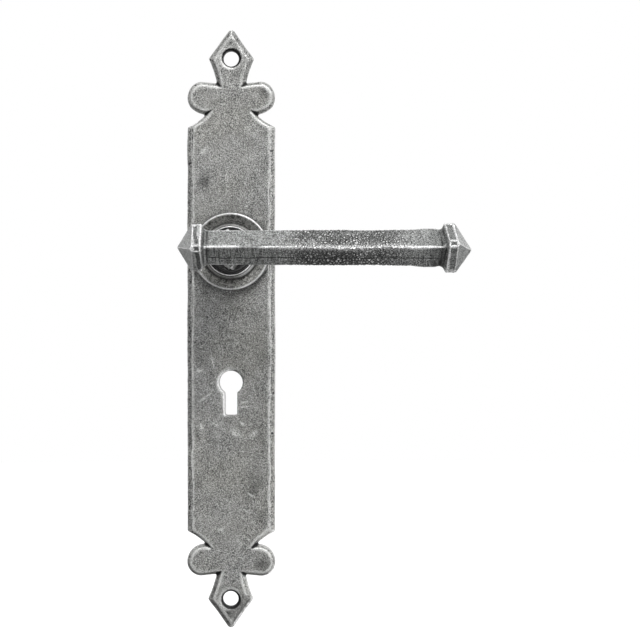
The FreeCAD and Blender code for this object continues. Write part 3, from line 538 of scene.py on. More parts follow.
def dish_rose(points, normals):
    """Sinks the rose's face towards its collar, which leaves a rim standing round it."""
    away = from_axis(points)
    inward = np.clip((ROSE_RADIUS - RIM_WIDTH - away) / (ROSE_RADIUS - RIM_WIDTH - COLLAR_FOOT), 0, 1)
    above_face = -points[:, 1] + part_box("rose")[0].y + COLLAR_HEIGHT
    low_down = 1 - smooth_step(above_face, 0.2 * MM, 0.6 * COLLAR_HEIGHT)
    on_face = smooth_step(-normals[:, 1], 0.3, 0.7) * smooth_step(above_face, -1.2 * MM, -0.8 * MM)
    outside = smooth_step(away, LIP_RADIUS, LIP_RADIUS + 0.5 * MM)
    sunk = points.copy()
    sunk[:, 1] += DISH_DEPTH * inward * low_down * on_face * outside
    return sunk


def make_rose():
    piece = dense_copy("rose", "rose_casting", ROSE_PITCH)
    mesh = piece.data
    points = evened(read_points(mesh), read_edges(mesh), 1)
    points = dish_rose(points, read_normals(mesh))
    write_points(mesh, points)
    normals = read_normals(mesh)
    outside = smooth_step(from_axis(points), LIP_RADIUS - 0.3 * MM, LIP_RADIUS + 0.5 * MM)
    grain = 0.014 * MM * rough_noise(points, 0.9 * MM, 211)
    swell = 0.03 * MM * soft_noise(points, 5.0 * MM, 231)
    points = points + normals * ((grain + swell) * outside)[:, None]
    write_points(mesh, points)
    mark_wear(mesh, ROSE_WEAR)
    # The upper half of the rose's face is darkened as painted shade.
    upper = smooth_step(points[:, 2] + 3 * MM * rough_noise(points, 5 * MM, 241), -4 * MM, 6 * MM)
    store(mesh, "dirt_and_painted_shade", 0.55 * upper * smooth_step(from_axis(points), COLLAR_FOOT - 0.5 * MM, COLLAR_FOOT))
    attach(piece, "backplate_assembly")
    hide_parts("rose")
    return piece


def ridge_wander(along):
    """How far the front ridge strays up or down from the bar's axis."""
    spots = np.stack([along, 0 * along, 0 * along], axis=1)
    return MM * (0.25 * soft_noise(spots, 11 * MM, 111) - 0.5 * np.exp(-((along - 52 * MM) / (14 * MM)) ** 2))


def drift_bar(points):
    """Unevenness of the hand bar: a wandering front ridge, a slight waist and a swell by the right block."""
    moved = points.copy()
    along = points[:, 0]
    on_bar = window(along, BAR_START, BLOCK_START, 2 * MM)
    ridge = smooth_step(-points[:, 1], BAR_HEIGHT + 1 * MM, BAR_HEIGHT + BAR_HALF_DIAGONAL) * on_bar
    moved[:, 2] += ridge_wander(along) * ridge
    swell = 0.060 * window(along, 76 * MM, BLOCK_START + 4 * MM, 6 * MM)
    waist = 0.025 * np.exp(-((along - 60 * MM) / (9 * MM)) ** 2)
    moved[:, 2] *= 1 + (swell - waist) * on_bar
    point = smooth_step(along, BLOCK_START + 6 * MM, BLOCK_START + 13 * MM)
    moved[:, 2] -= 0.7 * MM * point
    return moved


def sharpen_stem(points):
    """Brings the flats on the stem's four corners out to a narrow round."""
    clear_of_collar = -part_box("rose")[0].y + 0.3 * MM
    on_stem = window(-points[:, 1], clear_of_collar, BAR_HEIGHT - 1.9 * BAR_HALF_DIAGONAL, 0.8 * MM)
    on_stem = on_stem * (from_axis(points) < STEM_RADIUS)
    aside, up = np.abs(points[:, 0]), np.abs(points[:, 2])
    reach = np.percentile((aside + up)[on_stem > 0.9], 95)
    corner = reach + 0.3 * MM - np.hypot(np.minimum(aside, up), 0.15 * MM)
    longer = np.maximum(corner / np.maximum(np.maximum(aside, up), 1 * MM), 1)
    moved = points.copy()
    for axis, other in ((0, 2), (2, 0)):
        main = np.abs(points[:, axis]) > np.abs(points[:, other])
        moved[:, axis] *= np.where(main, 1 + (longer - 1) * on_stem, 1)
    hanging = smooth_step(-points[:, 2], 0.3 * reach, reach) * on_stem
    moved[:, 0] += STEM_LEAN * hanging
    moved[:, 2] += 0.2 * STEM_LEAN * hanging
    return moved


def block_faces(points):
    """Recessed facets of the end blocks, the narrow borders round them, and their darkness."""
    bend = np.maximum(points[:, 0] - BEND_START, 0)
    forward = -points[:, 1] - BAR_HEIGHT + bend ** 2 / (2 * BEND_RADIUS)
    along = points[:, 0] - forward * bend / BEND_RADIUS + 0.45 * MM * soft_noise(points, 2.5 * MM, 83)
    wander = 0.12 * MM * soft_noise(points, 2.0 * MM, 89)
    shaded = smooth_step(-points[:, 2], 0.8 * MM, 2.5 * MM)
    facets = borders = dark = 0
    for start, end, twist, lean, darkness in BLOCK_FACETS:
        leaning = along + lean * points[:, 2]
        turn = math.radians(twist)
        ahead = np.abs(forward * math.cos(turn) + points[:, 2] * math.sin(turn))
        above = np.abs(points[:, 2] * math.cos(turn) - forward * math.sin(turn))
        off_corner = np.minimum(ahead, above) + wander
        flats = smooth_step(off_corner, BLOCK_CORNER + 0.4 * MM, BLOCK_CORNER + 1.0 * MM)
        corners = 1 - smooth_step(off_corner, 0.75 * MM, 1.25 * MM)
        facet = window(leaning, start, end, 0.6 * MM) * np.maximum(flats, corners)
        facets = facets + facet
        past_bar = np.abs(leaning - (BAR_START + BLOCK_START) / 2) - (BLOCK_START - BAR_START) / 2
        outer_side = smooth_step(past_bar, 3.6 * MM, 4.6 * MM)
        border = 4 * facet * (1 - facet) * window(leaning, start - 0.3 * MM, end + 0.3 * MM, 0.2 * MM)
        # Below the axis the outer borders are dimmed, as painted shade.
        borders = borders + border * (1 - 0.8 * outer_side * shaded)
        dark = dark + (darkness + 0.35 * corners) * facet
    return facets, borders, dark


def shape_lever(mesh):
    """Gives the lever its scale, seam and facets; returns the fields that its marks of use go by."""
    points = evened(read_points(mesh), read_edges(mesh), 1)
    points = drift_bar(sharpen_stem(points))
    write_points(mesh, points)
    normals = read_normals(mesh)
    along = points[:, 0]
    above_stem = BAR_HEIGHT - 1.7 * BAR_HALF_DIAGONAL
    raised = smooth_step(-points[:, 1], above_stem, BAR_HEIGHT - 1.1 * BAR_HALF_DIAGONAL)
    on_bar = raised * window(along, BAR_START, BLOCK_START, 2 * MM)
    edge_wander = along + 5.0 * MM * rough_noise(points, 7.0 * MM, 3, 2)
    patchy = smooth_step(rough_noise(points, 5.0 * MM, 13, 2), -1.1, -0.2)
    scaled = window(edge_wander, SCALED_FROM, SCALED_TO, SCALED_FADE) * on_bar * patchy
    lower = smooth_step(-(normals[:, 1] + normals[:, 2]) / math.sqrt(2), 0.75, 0.95)
    facets, borders, dark_facets = block_faces(points)
    warp = np.stack([soft_noise(points, 1.2 * MM, seed) for seed in (5, 6, 7)], axis=1)
    crown = cobbles(points + 0.35 * MM * warp, COBBLE_SIZE, 8)
    cobble = COBBLE_DEPTH * (crown - 0.6)
    scale = 0.13 * MM * rough_noise(points, 1.6 * MM, 21, 2)
    striation = 0.035 * MM * rough_noise(points, (0.8 * MM, 6 * MM, 6 * MM), 41, 2)
    grain = 0.018 * MM * rough_noise(points, 0.9 * MM, 51, 2)
    swell = 0.08 * MM * soft_noise(points, 9.0 * MM, 61)
    relief = scaled * (cobble + scale) + (1 - scaled) * on_bar * striation + (grain + swell) * raised
    seam_way = -points[:, 2] - SEAM_DROP - 0.25 * MM * rough_noise(points * (1, 0, 0), 6 * MM, 71, 2)
    relief -= SEAM_DEPTH * np.exp(-(seam_way / (0.3 * MM)) ** 2) * lower * on_bar + FACET_DEPTH * facets
    points = points + normals * relief[:, None]
    write_points(mesh, points)
    return SimpleNamespace(
        points=points, normals=normals, along=along, raised=raised, on_bar=on_bar, scaled=scaled, lower=lower,
        facets=facets, borders=borders, dark_facets=dark_facets, crown=crown, seam_way=seam_way)


def mark_bar(mesh, bar):
    """Stores the bar's bright ridge, scale, cracks and seam; returns the dirt on the ridge's dull stretch."""
    points, along, on_bar, scaled, lower = bar.points, bar.along, bar.on_bar, bar.scaled, bar.lower
    off_ridge = np.abs(points[:, 2] - ridge_wander(along))
    near_ridge = np.exp(-(off_ridge / (0.9 * MM)) ** 2)
    dull = window(along, DULL_RIDGE_FROM, DULL_RIDGE_TO, 2.5 * MM)
    rubbing = (1 - 0.6 * scaled * (1 - near_ridge)) * (1 - 0.8 * dull) * (1 - 0.9 * bar.facets)
    mark_wear(mesh, LEVER_WEAR, rubbing)
    flaking = smooth_step(rough_noise(points * (1, 0, 1), (8 * MM, 1, 0.9 * MM), 93, 3), -0.3, 0.1)
    gaps = 0.25 + 0.75 * flaking
    worn_ridge = np.exp(-(off_ridge / ((0.50 + 0.90 * scaled) * MM)) ** 2) * on_bar
    worn_ridge *= 1 - 0.7 * dull
    ticks = 1 - 0.45 * scaled * (1 - smooth_step(bar.crown, 0.05, 0.5))
    store(mesh, "ridge", worn_ridge * np.maximum(gaps, scaled) * ticks)
    store(mesh, "crowns", scaled * smooth_step(bar.crown, 0.7, 1.0) * (0.6 + 0.3 * lower))
    store(mesh, "cracks", (0.3 + 0.45 * lower) * scaled * (1 - bar.crown) * (1 - near_ridge))
    store(mesh, "scaled", scaled)
    store(mesh, "ground", on_bar * (1 - scaled))
    store(mesh, "seam", 0.5 + bar.seam_way / SEAM_SPAN)
    store(mesh, "lower_face", lower * on_bar)
    # The lever's stem and journal deep in the collar are darkened as painted shade.
    store(mesh, "collar_shade", 1 - smooth_step(-points[:, 1], 5 * MM, 13 * MM))
    return 0.8 * dull * np.exp(-(off_ridge / (0.7 * MM)) ** 2) * on_bar


def mark_ends(mesh, bar, ridge_dirt):
    """Stores the dirt and painted shade along the bar and by its end blocks, the blocks' bright borders, and
    their points.
    """
    points, along, on_bar, raised, lower = bar.points, bar.along, bar.on_bar, bar.raised, bar.lower
    low_side = smooth_step(-bar.normals[:, 2], 0.2, 0.6)
    at_right = low_side * (along > (BAR_START + BLOCK_START) / 2)
    towards_block = along + 1.0 * MM * soft_noise(points, 2 * MM, 81)
    by_blocks = on_bar * np.maximum(
        1 - smooth_step(along, BAR_START, BAR_START + 1.5 * MM),
        smooth_step(towards_block, BLOCK_START - 6 * MM, BLOCK_START - 1 * MM))
    flares = raised * np.maximum(
        window(along, BAR_START - 2.4 * MM, BAR_START + 0.4 * MM, 0.5 * MM),
        window(along, BLOCK_START - 1.0 * MM, BLOCK_START + 2.2 * MM, 0.5 * MM))
    ragged = along + 5 * MM * rough_noise(points, 5 * MM, 15, 2)
    underside_shade = window(ragged, UNDERSIDE_SHADE_FROM, UNDERSIDE_SHADE_TO, 7 * MM) * lower * on_bar
    # Downward faces, the right end's low side and the bar's lower face are darkened more, as painted shade.
    dirt_and_shade = (0.8 + 0.2 * low_side) * bar.dark_facets + (0.5 + 0.5 * at_right) * np.maximum(by_blocks, flares)
    dirt_and_shade += ridge_dirt
    dirt_and_shade += on_bar * (0.08 * lower + 0.20 * smooth_step(along, 60 * MM, 72 * MM))
    store(mesh, "dirt_and_painted_shade", np.maximum(dirt_and_shade, 0.75 * underside_shade))

    broken = 0.15 + 0.85 * smooth_step(rough_noise(points, 1.5 * MM, 85, 2), -0.45, 0.15)
    by_flare = BAR_START - along + 0.2 * MM * soft_noise(points, 2 * MM, 87)
    streaks = sum(np.exp(-((by_flare - step) / (0.25 * MM)) ** 2) for step in (0.7 * MM, 1.9 * MM))
    at_left = along < (BAR_START + BLOCK_START) / 2
    bright = np.maximum((1 - 0.25 * at_left) * bar.borders, 0.5 * streaks * lower * raised)
    store(mesh, "borders", bright * broken)
    end_points = raised * np.maximum(
        1 - smooth_step(along, LEFT_POINT - 0.5 * MM, LEFT_POINT),
        smooth_step(along, RIGHT_POINT, RIGHT_POINT + 1 * MM))
    # The points are dimmed on downward faces, most at the right end, as painted shade.
    store(mesh, "points", end_points * (1 - 0.2 * low_side - 0.6 * at_right))


def make_lever():
    piece = dense_copy("lever_handle", "lever_casting", LEVER_PITCH)
    bar = shape_lever(piece.data)
    ridge_dirt = mark_bar(piece.data, bar)
    mark_ends(piece.data, bar, ridge_dirt)
    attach(piece, "lever_assembly")
    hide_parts("lever_handle")
    return piece


def make_spring():
    """Copy of the return spring, laid in the world. Its arm sits in the rose; its tang turns with the drive
    plate.
    """
    piece = add_piece("wound_spring", frame["nodes"]["return_spring"].data.copy())
    piece.data.materials.clear()
    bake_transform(piece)
    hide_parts("return_spring")
    return piece


# ---------------------------------------------------------------- shader nodes

def add_node(tree, kind, values=None, **settings):
    """Adds a shader node; each value is a constant, or an output to link in."""
    node = tree.nodes.new("ShaderNode" + kind)
    for key, value in settings.items():
        setattr(node, key, value)
    return fill_in(tree, node, values or {})


def fill_in(tree, node, values):
    for key, value in values.items():
        if isinstance(value, bpy.types.NodeSocket):
            tree.links.new(value, node.inputs[key])
        else:
            node.inputs[key].default_value = value
    return node


def calc(tree, operation, first, second=0.0, third=0.0):
    return add_node(tree, "Math", {0: first, 1: second, 2: third}, operation=operation).outputs[0]


def times(tree, first, second):
    return calc(tree, "MULTIPLY", first, second)


def highest(tree, value, *others):
    """The largest of several values."""
    for other in others:
        value = calc(tree, "MAXIMUM", value, other)
    return value


def clamp(tree, value):
    return add_node(tree, "Clamp", {0: value}).outputs[0]


def blend_values(tree, share, first, second):
    return add_node(tree, "Mix", {0: share, 2: first, 3: second}, data_type="FLOAT").outputs[0]


def blend_colours(tree, share, first, second, kind="MIX"):
    node = add_node(tree, "Mix", {0: share, 6: first, 7: second}, data_type="RGBA", blend_type=kind)
    return node.outputs[2]


def as_grey(tree, value):
    return add_node(tree, "CombineColor", {"Red": value, "Green": value, "Blue": value}).outputs[0]


def span(tree, value, low, high, to_low=0.0, to_high=1.0):
    return add_node(tree, "MapRange", {0: value, 1: low, 2: high, 3: to_low, 4: to_high}).outputs[0]


def object_point(tree):
    return add_node(tree, "TexCoord").outputs["Object"]


def noise_at(tree, size, detail=2.0, roughness=0.6, stretch=None, distortion=0.0):
    """Noise whose lumps are about the given size, stretched over its three axes where asked."""
    point = object_point(tree)
    if stretch:
        point = add_node(tree, "VectorMath", {0: point, 1: stretch}, operation="DIVIDE").outputs[0]
    scale = calc(tree, "DIVIDE", 1.0, size) if isinstance(size, bpy.types.NodeSocket) else 1.0 / size
    node = add_node(tree, "TexNoise", {
        "Vector": point, "Scale": scale, "Detail": detail, "Roughness": roughness, "Distortion": distortion,
    })
    return node.outputs[0]


def start_group(name, inputs, outputs):
    """Empty node group; inputs are (name, kind, default) and outputs (name, kind)."""
    group = bpy.data.node_groups.new(name, "ShaderNodeTree")
    for label, kind, default in inputs:
        socket = group.interface.new_socket(label, in_out="INPUT", socket_type="NodeSocket" + kind)
        socket.default_value = default
    for label, kind in outputs:
        group.interface.new_socket(label, in_out="OUTPUT", socket_type="NodeSocket" + kind)
    return group, group.nodes.new("NodeGroupInput").outputs, group.nodes.new("NodeGroupOutput").inputs


def use_group(tree, name, values):
    node = tree.nodes.new("ShaderNodeGroup")
    node.node_tree = bpy.data.node_groups[name]
    return fill_in(tree, node, values).outputs


def make_cast_mottle():
    """Mottled tone of a patinated casting, and the height of the grain that carries it."""
    group, given, out = start_group(
        "cast_mottle",
        [("Speck Size", "Float", 0.5 * MM), ("Speck Share", "Float", 1.0), ("Grain Size", "Float", 1.3 * MM),
         ("Grain Share", "Float", 0.6), ("Blotch Size", "Float", 6 * MM), ("Blotch Share", "Float", 0.4)],
        [("Tone", "Float"), ("Height", "Float")],
    )
    specks = calc(group, "SUBTRACT", noise_at(group, given["Speck Size"], 1.5, 0.8), 0.5)
    grain = calc(group, "SUBTRACT", noise_at(group, given["Grain Size"], 2.0, 0.6), 0.5)
    blotch = calc(group, "SUBTRACT", noise_at(group, given["Blotch Size"], 3.0, 0.55, distortion=0.5), 0.5)
    coarse = times(group, grain, given["Grain Share"])
    fine = calc(group, "MULTIPLY_ADD", specks, given["Speck Share"], coarse)
    tone = calc(group, "MULTIPLY_ADD", blotch, given["Blotch Share"], calc(group, "ADD", fine, 0.5))
    group.links.new(clamp(group, tone), out["Tone"])
    group.links.new(calc(group, "ADD", fine, 0.5), out["Height"])


def make_pewter_patina():
    """Colour and gloss of pewter patina: dark residue and painted shade low down, bare metal and painted
    highlights on top.
    """
    group, given, out = start_group(
        "pewter_patina",
        [("Tone", "Float", 0.5), ("Contrast", "Float", 1.0), ("Worn And Highlit", "Float", 0.0), ("Proud", "Float", 0.0),
         ("Sunk And Shaded", "Float", 0.0), ("Sheltered And Shaded", "Float", 0.0), ("Residue And Shade", "Color", (0.03, 0.03, 0.03, 1)),
         ("Body", "Color", (0.25, 0.25, 0.245, 1)), ("Rubbed And Highlit", "Color", (0.8, 0.8, 0.78, 1))],
        [("Color", "Color"), ("Roughness", "Float")],
    )
    swing = times(group, calc(group, "SUBTRACT", given["Tone"], 0.5), given["Contrast"])
    light = calc(group, "MAXIMUM", calc(group, "MULTIPLY_ADD", swing, 2.0, 1.0), 0.12)
    body = blend_colours(group, 1.0, given["Body"], as_grey(group, light), "MULTIPLY")
    dulled_and_shaded = blend_colours(group, times(group, given["Sheltered And Shaded"], 0.6), body, given["Residue And Shade"])
    rub_and_highlight = calc(group, "MAXIMUM", given["Worn And Highlit"], times(group, given["Proud"], 0.6))
    rub_and_highlight = clamp(group, times(group, rub_and_highlight, span(group, given["Tone"], 0.25, 0.65, 0.45, 1.15)))
    rubbed_and_highlit = blend_colours(group, rub_and_highlight, dulled_and_shaded, given["Rubbed And Highlit"])
    group.links.new(blend_colours(group, given["Sunk And Shaded"], rubbed_and_highlit, given["Residue And Shade"]), out["Color"])
    dull = span(group, given["Tone"], 0.2, 0.8, 0.62, 0.46)
    group.links.new(calc(group, "SUBTRACT", dull, times(group, rub_and_highlight, 0.16)), out["Roughness"])


def make_ring_marks():
    """Fine marks that run round the spindle's axis, left by the lathe."""
    group, given, out = start_group(
        "ring_marks",
        [("Pitch", "Float", 0.3 * MM), ("Run", "Float", 3.0)],
        [("Tone", "Float"), ("Radius", "Float")])
    place = add_node(group, "SeparateXYZ", {0: object_point(group)}).outputs
    square = calc(group, "MULTIPLY_ADD", place["X"], place["X"], times(group, place["Z"], place["Z"]))
    radius = highest(group, calc(group, "SQRT", square), 0.1 * MM)
    outward = calc(group, "DIVIDE", calc(group, "ADD", radius, place["Y"]), given["Pitch"])
    way = [times(group, calc(group, "DIVIDE", place[axis], radius), given["Run"]) for axis in ("X", "Z")]
    spot = add_node(group, "CombineXYZ", {"X": outward, "Y": way[0], "Z": way[1]})
    marks = add_node(group, "TexNoise", {
        "Vector": spot.outputs[0], "Scale": 1.0, "Detail": 3.0, "Roughness": 0.65}).outputs[0]
    group.links.new(span(group, marks, 0.28, 0.72), out["Tone"])
    group.links.new(radius, out["Radius"])


def make_rubbed_edges():
    """Mask of the edges of a machined piece, broken up by a fine noise."""
    group, given, out = start_group(
        "rubbed_edges",
        [("Width", "Float", 0.3 * MM), ("Break Size", "Float", 1.5 * MM)],
        [("Mask", "Float")])
    soft = add_node(group, "Bevel", {"Radius": given["Width"]}, samples=6).outputs[0]
    true = add_node(group, "NewGeometry").outputs["Normal"]
    align = add_node(group, "VectorMath", {0: soft, 1: true}, operation="DOT_PRODUCT").outputs["Value"]
    edge = span(group, align, 0.995, 0.90)
    breaks = span(group, noise_at(group, given["Break Size"], 3.0), 0.35, 0.55, 0.35, 1.0)
    group.links.new(times(group, edge, breaks), out["Mask"])


def make_handling_marks():
    """Thin scratches that run in all directions, and the smears between them."""
    group, given, out = start_group(
        "handling_marks", [("Scratch Size", "Float", 3 * MM), ("Smear Size", "Float", 5 * MM)],
        [("Scratches", "Float"), ("Smears", "Float")])
    scratches = []
    for stretch in ((6, 1, 1), (1, 1, 6), (4, 1, 3)):
        lines = noise_at(group, given["Scratch Size"], 1.0, 0.5, [0.12 * reach for reach in stretch])
        off_middle = calc(group, "ABSOLUTE", calc(group, "SUBTRACT", lines, 0.5))
        scratches.append(span(group, off_middle, 0.006, 0.0))
    smears = noise_at(group, given["Smear Size"], 4.0, 0.6, distortion=0.8)
    group.links.new(highest(group, *scratches), out["Scratches"])
    group.links.new(span(group, smears, 0.3, 0.7), out["Smears"])


# ---------------------------------------------------------------- finishes

def tint(level, red, blue):
    return (level * red, level, level * blue, 1)


def grey(level):
    return tint(level, 1, 1)


PEWTER_METALLIC = 0.6
PATCH_METALLIC = 0.1            # where the painted glint lies on the collar's flare
# Dark patina colour of hollows, also used for painted shade.
RESIDUE_AND_SHADE = grey(0.012)
# Colour of bare pewter, also used for painted highlights.
BARE_AND_HIGHLIT_PEWTER = grey(0.95)


def start_material(name, metallic):
    material = bpy.data.materials.new(name)
    material.use_nodes = True
    tree = material.node_tree
    shader = tree.nodes["Principled BSDF"]
    shader.inputs["Metallic"].default_value = metallic
    return material, tree, shader


def stored(tree, name):
    return add_node(tree, "Attribute", attribute_name=name).outputs["Fac"]


def add_relief(tree, shader, height, distance, over=None):
    values = {"Height": height, "Distance": distance, "Strength": 1.0}
    if over:
        values["Normal"] = over
    relief = add_node(tree, "Bump", values).outputs[0]
    tree.links.new(relief, shader.inputs["Normal"])
    return relief


def finish_pewter(tree, shader, tone, height, values, bump):
    """Lays the pewter patina, with its wear read from the casting's own relief."""
    values = {"Tone": tone, "Worn And Highlit": stored(tree, "worn"), "Proud": stored(tree, "proud"), **values}
    patina = use_group(tree, "pewter_patina", values)
    tree.links.new(patina["Color"], shader.inputs["Base Color"])
    tree.links.new(patina["Roughness"], shader.inputs["Roughness"])
    add_relief(tree, shader, height, bump)


def make_plate_pewter():
    material, tree, shader = start_material("plate_pewter", PEWTER_METALLIC)
    mottle = use_group(tree, "cast_mottle", {
        "Speck Size": 0.37 * MM, "Speck Share": 1.95, "Grain Size": 1.1 * MM, "Grain Share": 0.15,
        "Blotch Size": 7 * MM, "Blotch Share": 0.26})
    marks = use_group(tree, "handling_marks", {"Scratch Size": 5 * MM, "Smear Size": 9 * MM})
    clouds = span(tree, noise_at(tree, 40 * MM, 2.0), 0.35, 0.65)
    body = blend_colours(tree, clouds, tint(0.240, 1.0, 0.94), tint(0.252, 0.99, 0.985))

    # Bevels: rubbed in streaks, with a bright line along their inner edge and painted highlights on some of
    # them.
    grit = span(tree, noise_at(tree, 0.8 * MM, 3.0, 0.7), 0.40, 0.62)
    smeared = times(tree, stored(tree, "slope"), span(tree, marks["Smears"], 0.25, 0.8, 0.14, 1.07))
    edge_line = times(tree, stored(tree, "edge_line"), 0.85)
    bevel_highlight = times(tree, stored(tree, "bevel_highlight"), span(tree, grit, 0.0, 1.0, 1.2, 2.4))
    bevels = highest(tree, times(tree, smeared, grit), edge_line, bevel_highlight)

    # Face: a thin veil, scratches, flecks and scuffs, and a painted highlight on the keyhole's left chamfer.
    veil = times(tree, span(tree, marks["Smears"], 0.75, 1.0), 0.25)
    scratches = times(tree, marks["Scratches"], 0.7)
    flecks = span(tree, noise_at(tree, 1.6 * MM, 4.0, 0.7), 0.62, 0.67)
    scuff_grit = span(tree, noise_at(tree, 0.6 * MM, 2.0), 0.42, 0.56, 0.1, 1.5)
    scuffs = times(tree, times(tree, stored(tree, "scuffs"), scuff_grit), 1.3)
    key_chamfer_highlight = stored(tree, "key_chamfer_highlight")
    rub_and_highlight = highest(tree, bevels, veil, scratches, flecks, scuffs, times(tree, key_chamfer_highlight, 2.0))
    # Where highlights are painted, the bright colour is white.
    bright = highest(tree, key_chamfer_highlight, stored(tree, "bevel_highlight"))

    patches = span(tree, noise_at(tree, 5 * MM, 3.0), 0.38, 0.6, 0.2, 1.8)
    dirt_and_painted_shade = times(tree, stored(tree, "dirt_and_painted_shade"), 0.9)
    smudges = times(tree, stored(tree, "smudges"), 1.1)
    sunk = calc(tree, "SUBTRACT", stored(tree, "sunk"), stored(tree, "clean"))
    speckle = calc(tree, "SUBTRACT", noise_at(tree, 0.55 * MM, 1.5, 0.7), 0.5)
    speckled_slope = times(tree, stored(tree, "slope"), 2.3)
    tone = calc(tree, "MULTIPLY_ADD", speckle, speckled_slope, mottle["Tone"])
    finish_pewter(tree, shader, tone, mottle["Height"], {
        "Contrast": 2.0,
        "Sunk And Shaded": highest(tree, sunk, stored(tree, "bores")),
        "Worn And Highlit": highest(tree, stored(tree, "worn"), times(tree, rub_and_highlight, 0.7)),
        "Proud": clamp(tree, times(tree, stored(tree, "proud"), patches)),
        "Sheltered And Shaded": highest(tree, stored(tree, "sheltered"), dirt_and_painted_shade, smudges),
        "Body": body,
        "Residue And Shade": RESIDUE_AND_SHADE,
        "Rubbed And Highlit": blend_colours(tree, bright, tint(0.68, 0.995, 0.98), grey(1.0))}, 0.09 * MM)
    return material


def ring_band(tree, radius, middle, half_width):
    """1 along a ring round the spindle's axis, fading to 0 at half its width each side."""
    away = calc(tree, "ABSOLUTE", calc(tree, "SUBTRACT", radius, middle))
    return span(tree, away, half_width, 0.4 * half_width)


def make_rose_pewter():
    material, tree, shader = start_material("rose_pewter", PEWTER_METALLIC)
    mottle = use_group(tree, "cast_mottle", {
        "Speck Size": 0.4 * MM, "Speck Share": 1.7, "Grain Size": 1.4 * MM, "Grain Share": 0.6,
        "Blotch Size": 5 * MM, "Blotch Share": 0.6})
    rings = use_group(tree, "ring_marks", {"Pitch": 0.45 * MM, "Run": 2.5})
    radius = rings["Radius"]
    tone = blend_values(tree, 0.2, mottle["Tone"], rings["Tone"])

    # Bright rim and lip rings, part wear, part painted highlight; a painted highlight ring and glint on the
    # collar's flare.
    rim = ring_band(tree, radius, ROSE_RADIUS - 0.40 * MM, 0.38 * MM)
    lip = ring_band(tree, radius, LIP_RADIUS + 0.1 * MM, 0.30 * MM)
    flare = span(tree, radius, COLLAR_FOOT, COLLAR_FOOT - 0.5 * MM)
    way = add_node(tree, "VectorMath", {0: object_point(tree)}, operation="NORMALIZE").outputs[0]
    towards = add_node(tree, "VectorMath", {0: way, 1: GLINT_WAY}, operation="DOT_PRODUCT").outputs["Value"]
    patch = span(tree, towards, 0.86, 0.97)
    glint = times(tree, flare, patch)
    step = ring_band(tree, radius, COLLAR_FOOT - 0.75 * MM, 0.40 * MM)
    step = times(tree, step, span(tree, patch, 0.0, 1.0, 0.45, 1.5))
    bare_and_highlit = highest(tree, rim, lip, glint, step, stored(tree, "worn"))
    metallic = span(tree, glint, 0.0, 1.0, PEWTER_METALLIC, PATCH_METALLIC)
    tree.links.new(metallic, shader.inputs["Metallic"])

    # Painted shade: a dark ring in the groove round the lip, and black inside the collar.
    groove_shade = ring_band(tree, radius, LIP_RADIUS + 0.55 * MM, 0.22 * MM)
    collar_bore_shade = span(tree, radius, LIP_RADIUS - 0.15 * MM, LIP_RADIUS - 0.4 * MM)
    at_foot = ring_band(tree, radius, COLLAR_FOOT, 1.4 * MM)
    sunk = times(tree, stored(tree, "sunk"), span(tree, at_foot, 0.0, 1.0, 1.0, 0.4))
    finish_pewter(tree, shader, tone, tone, {
        "Contrast": 2.2,
        "Worn And Highlit": bare_and_highlit,
        "Sunk And Shaded": highest(tree, sunk, times(tree, groove_shade, 0.7), collar_bore_shade),
        "Sheltered And Shaded": highest(tree, stored(tree, "sheltered"), stored(tree, "dirt_and_painted_shade")),
        "Body": tint(0.20, 1.0, 0.95),
        "Residue And Shade": RESIDUE_AND_SHADE,
        "Rubbed And Highlit": BARE_AND_HIGHLIT_PEWTER}, 0.08 * MM)
    return material


def make_scale_cracks(tree):
    """Fine cracks between the plates of the bar's coarse scale."""
    sway = add_node(tree, "TexNoise", {"Vector": object_point(tree), "Scale": 1 / SWAY_SIZE, "Detail": 2.0})
    swayed = add_node(tree, "VectorMath", {
        0: sway.outputs["Color"], 1: (SWAY, SWAY, SWAY), 2: object_point(tree)}, operation="MULTIPLY_ADD")
    cells = add_node(tree, "TexVoronoi", {
        "Vector": swayed.outputs[0], "Scale": 1 / CRACK_SIZE, "Randomness": 1.0}, feature="DISTANCE_TO_EDGE")
    off_ridge = calc(tree, "SUBTRACT", stored(tree, "scaled"), stored(tree, "ridge"))
    return times(tree, span(tree, cells.outputs["Distance"], 0.17, 0.06), clamp(tree, off_ridge))


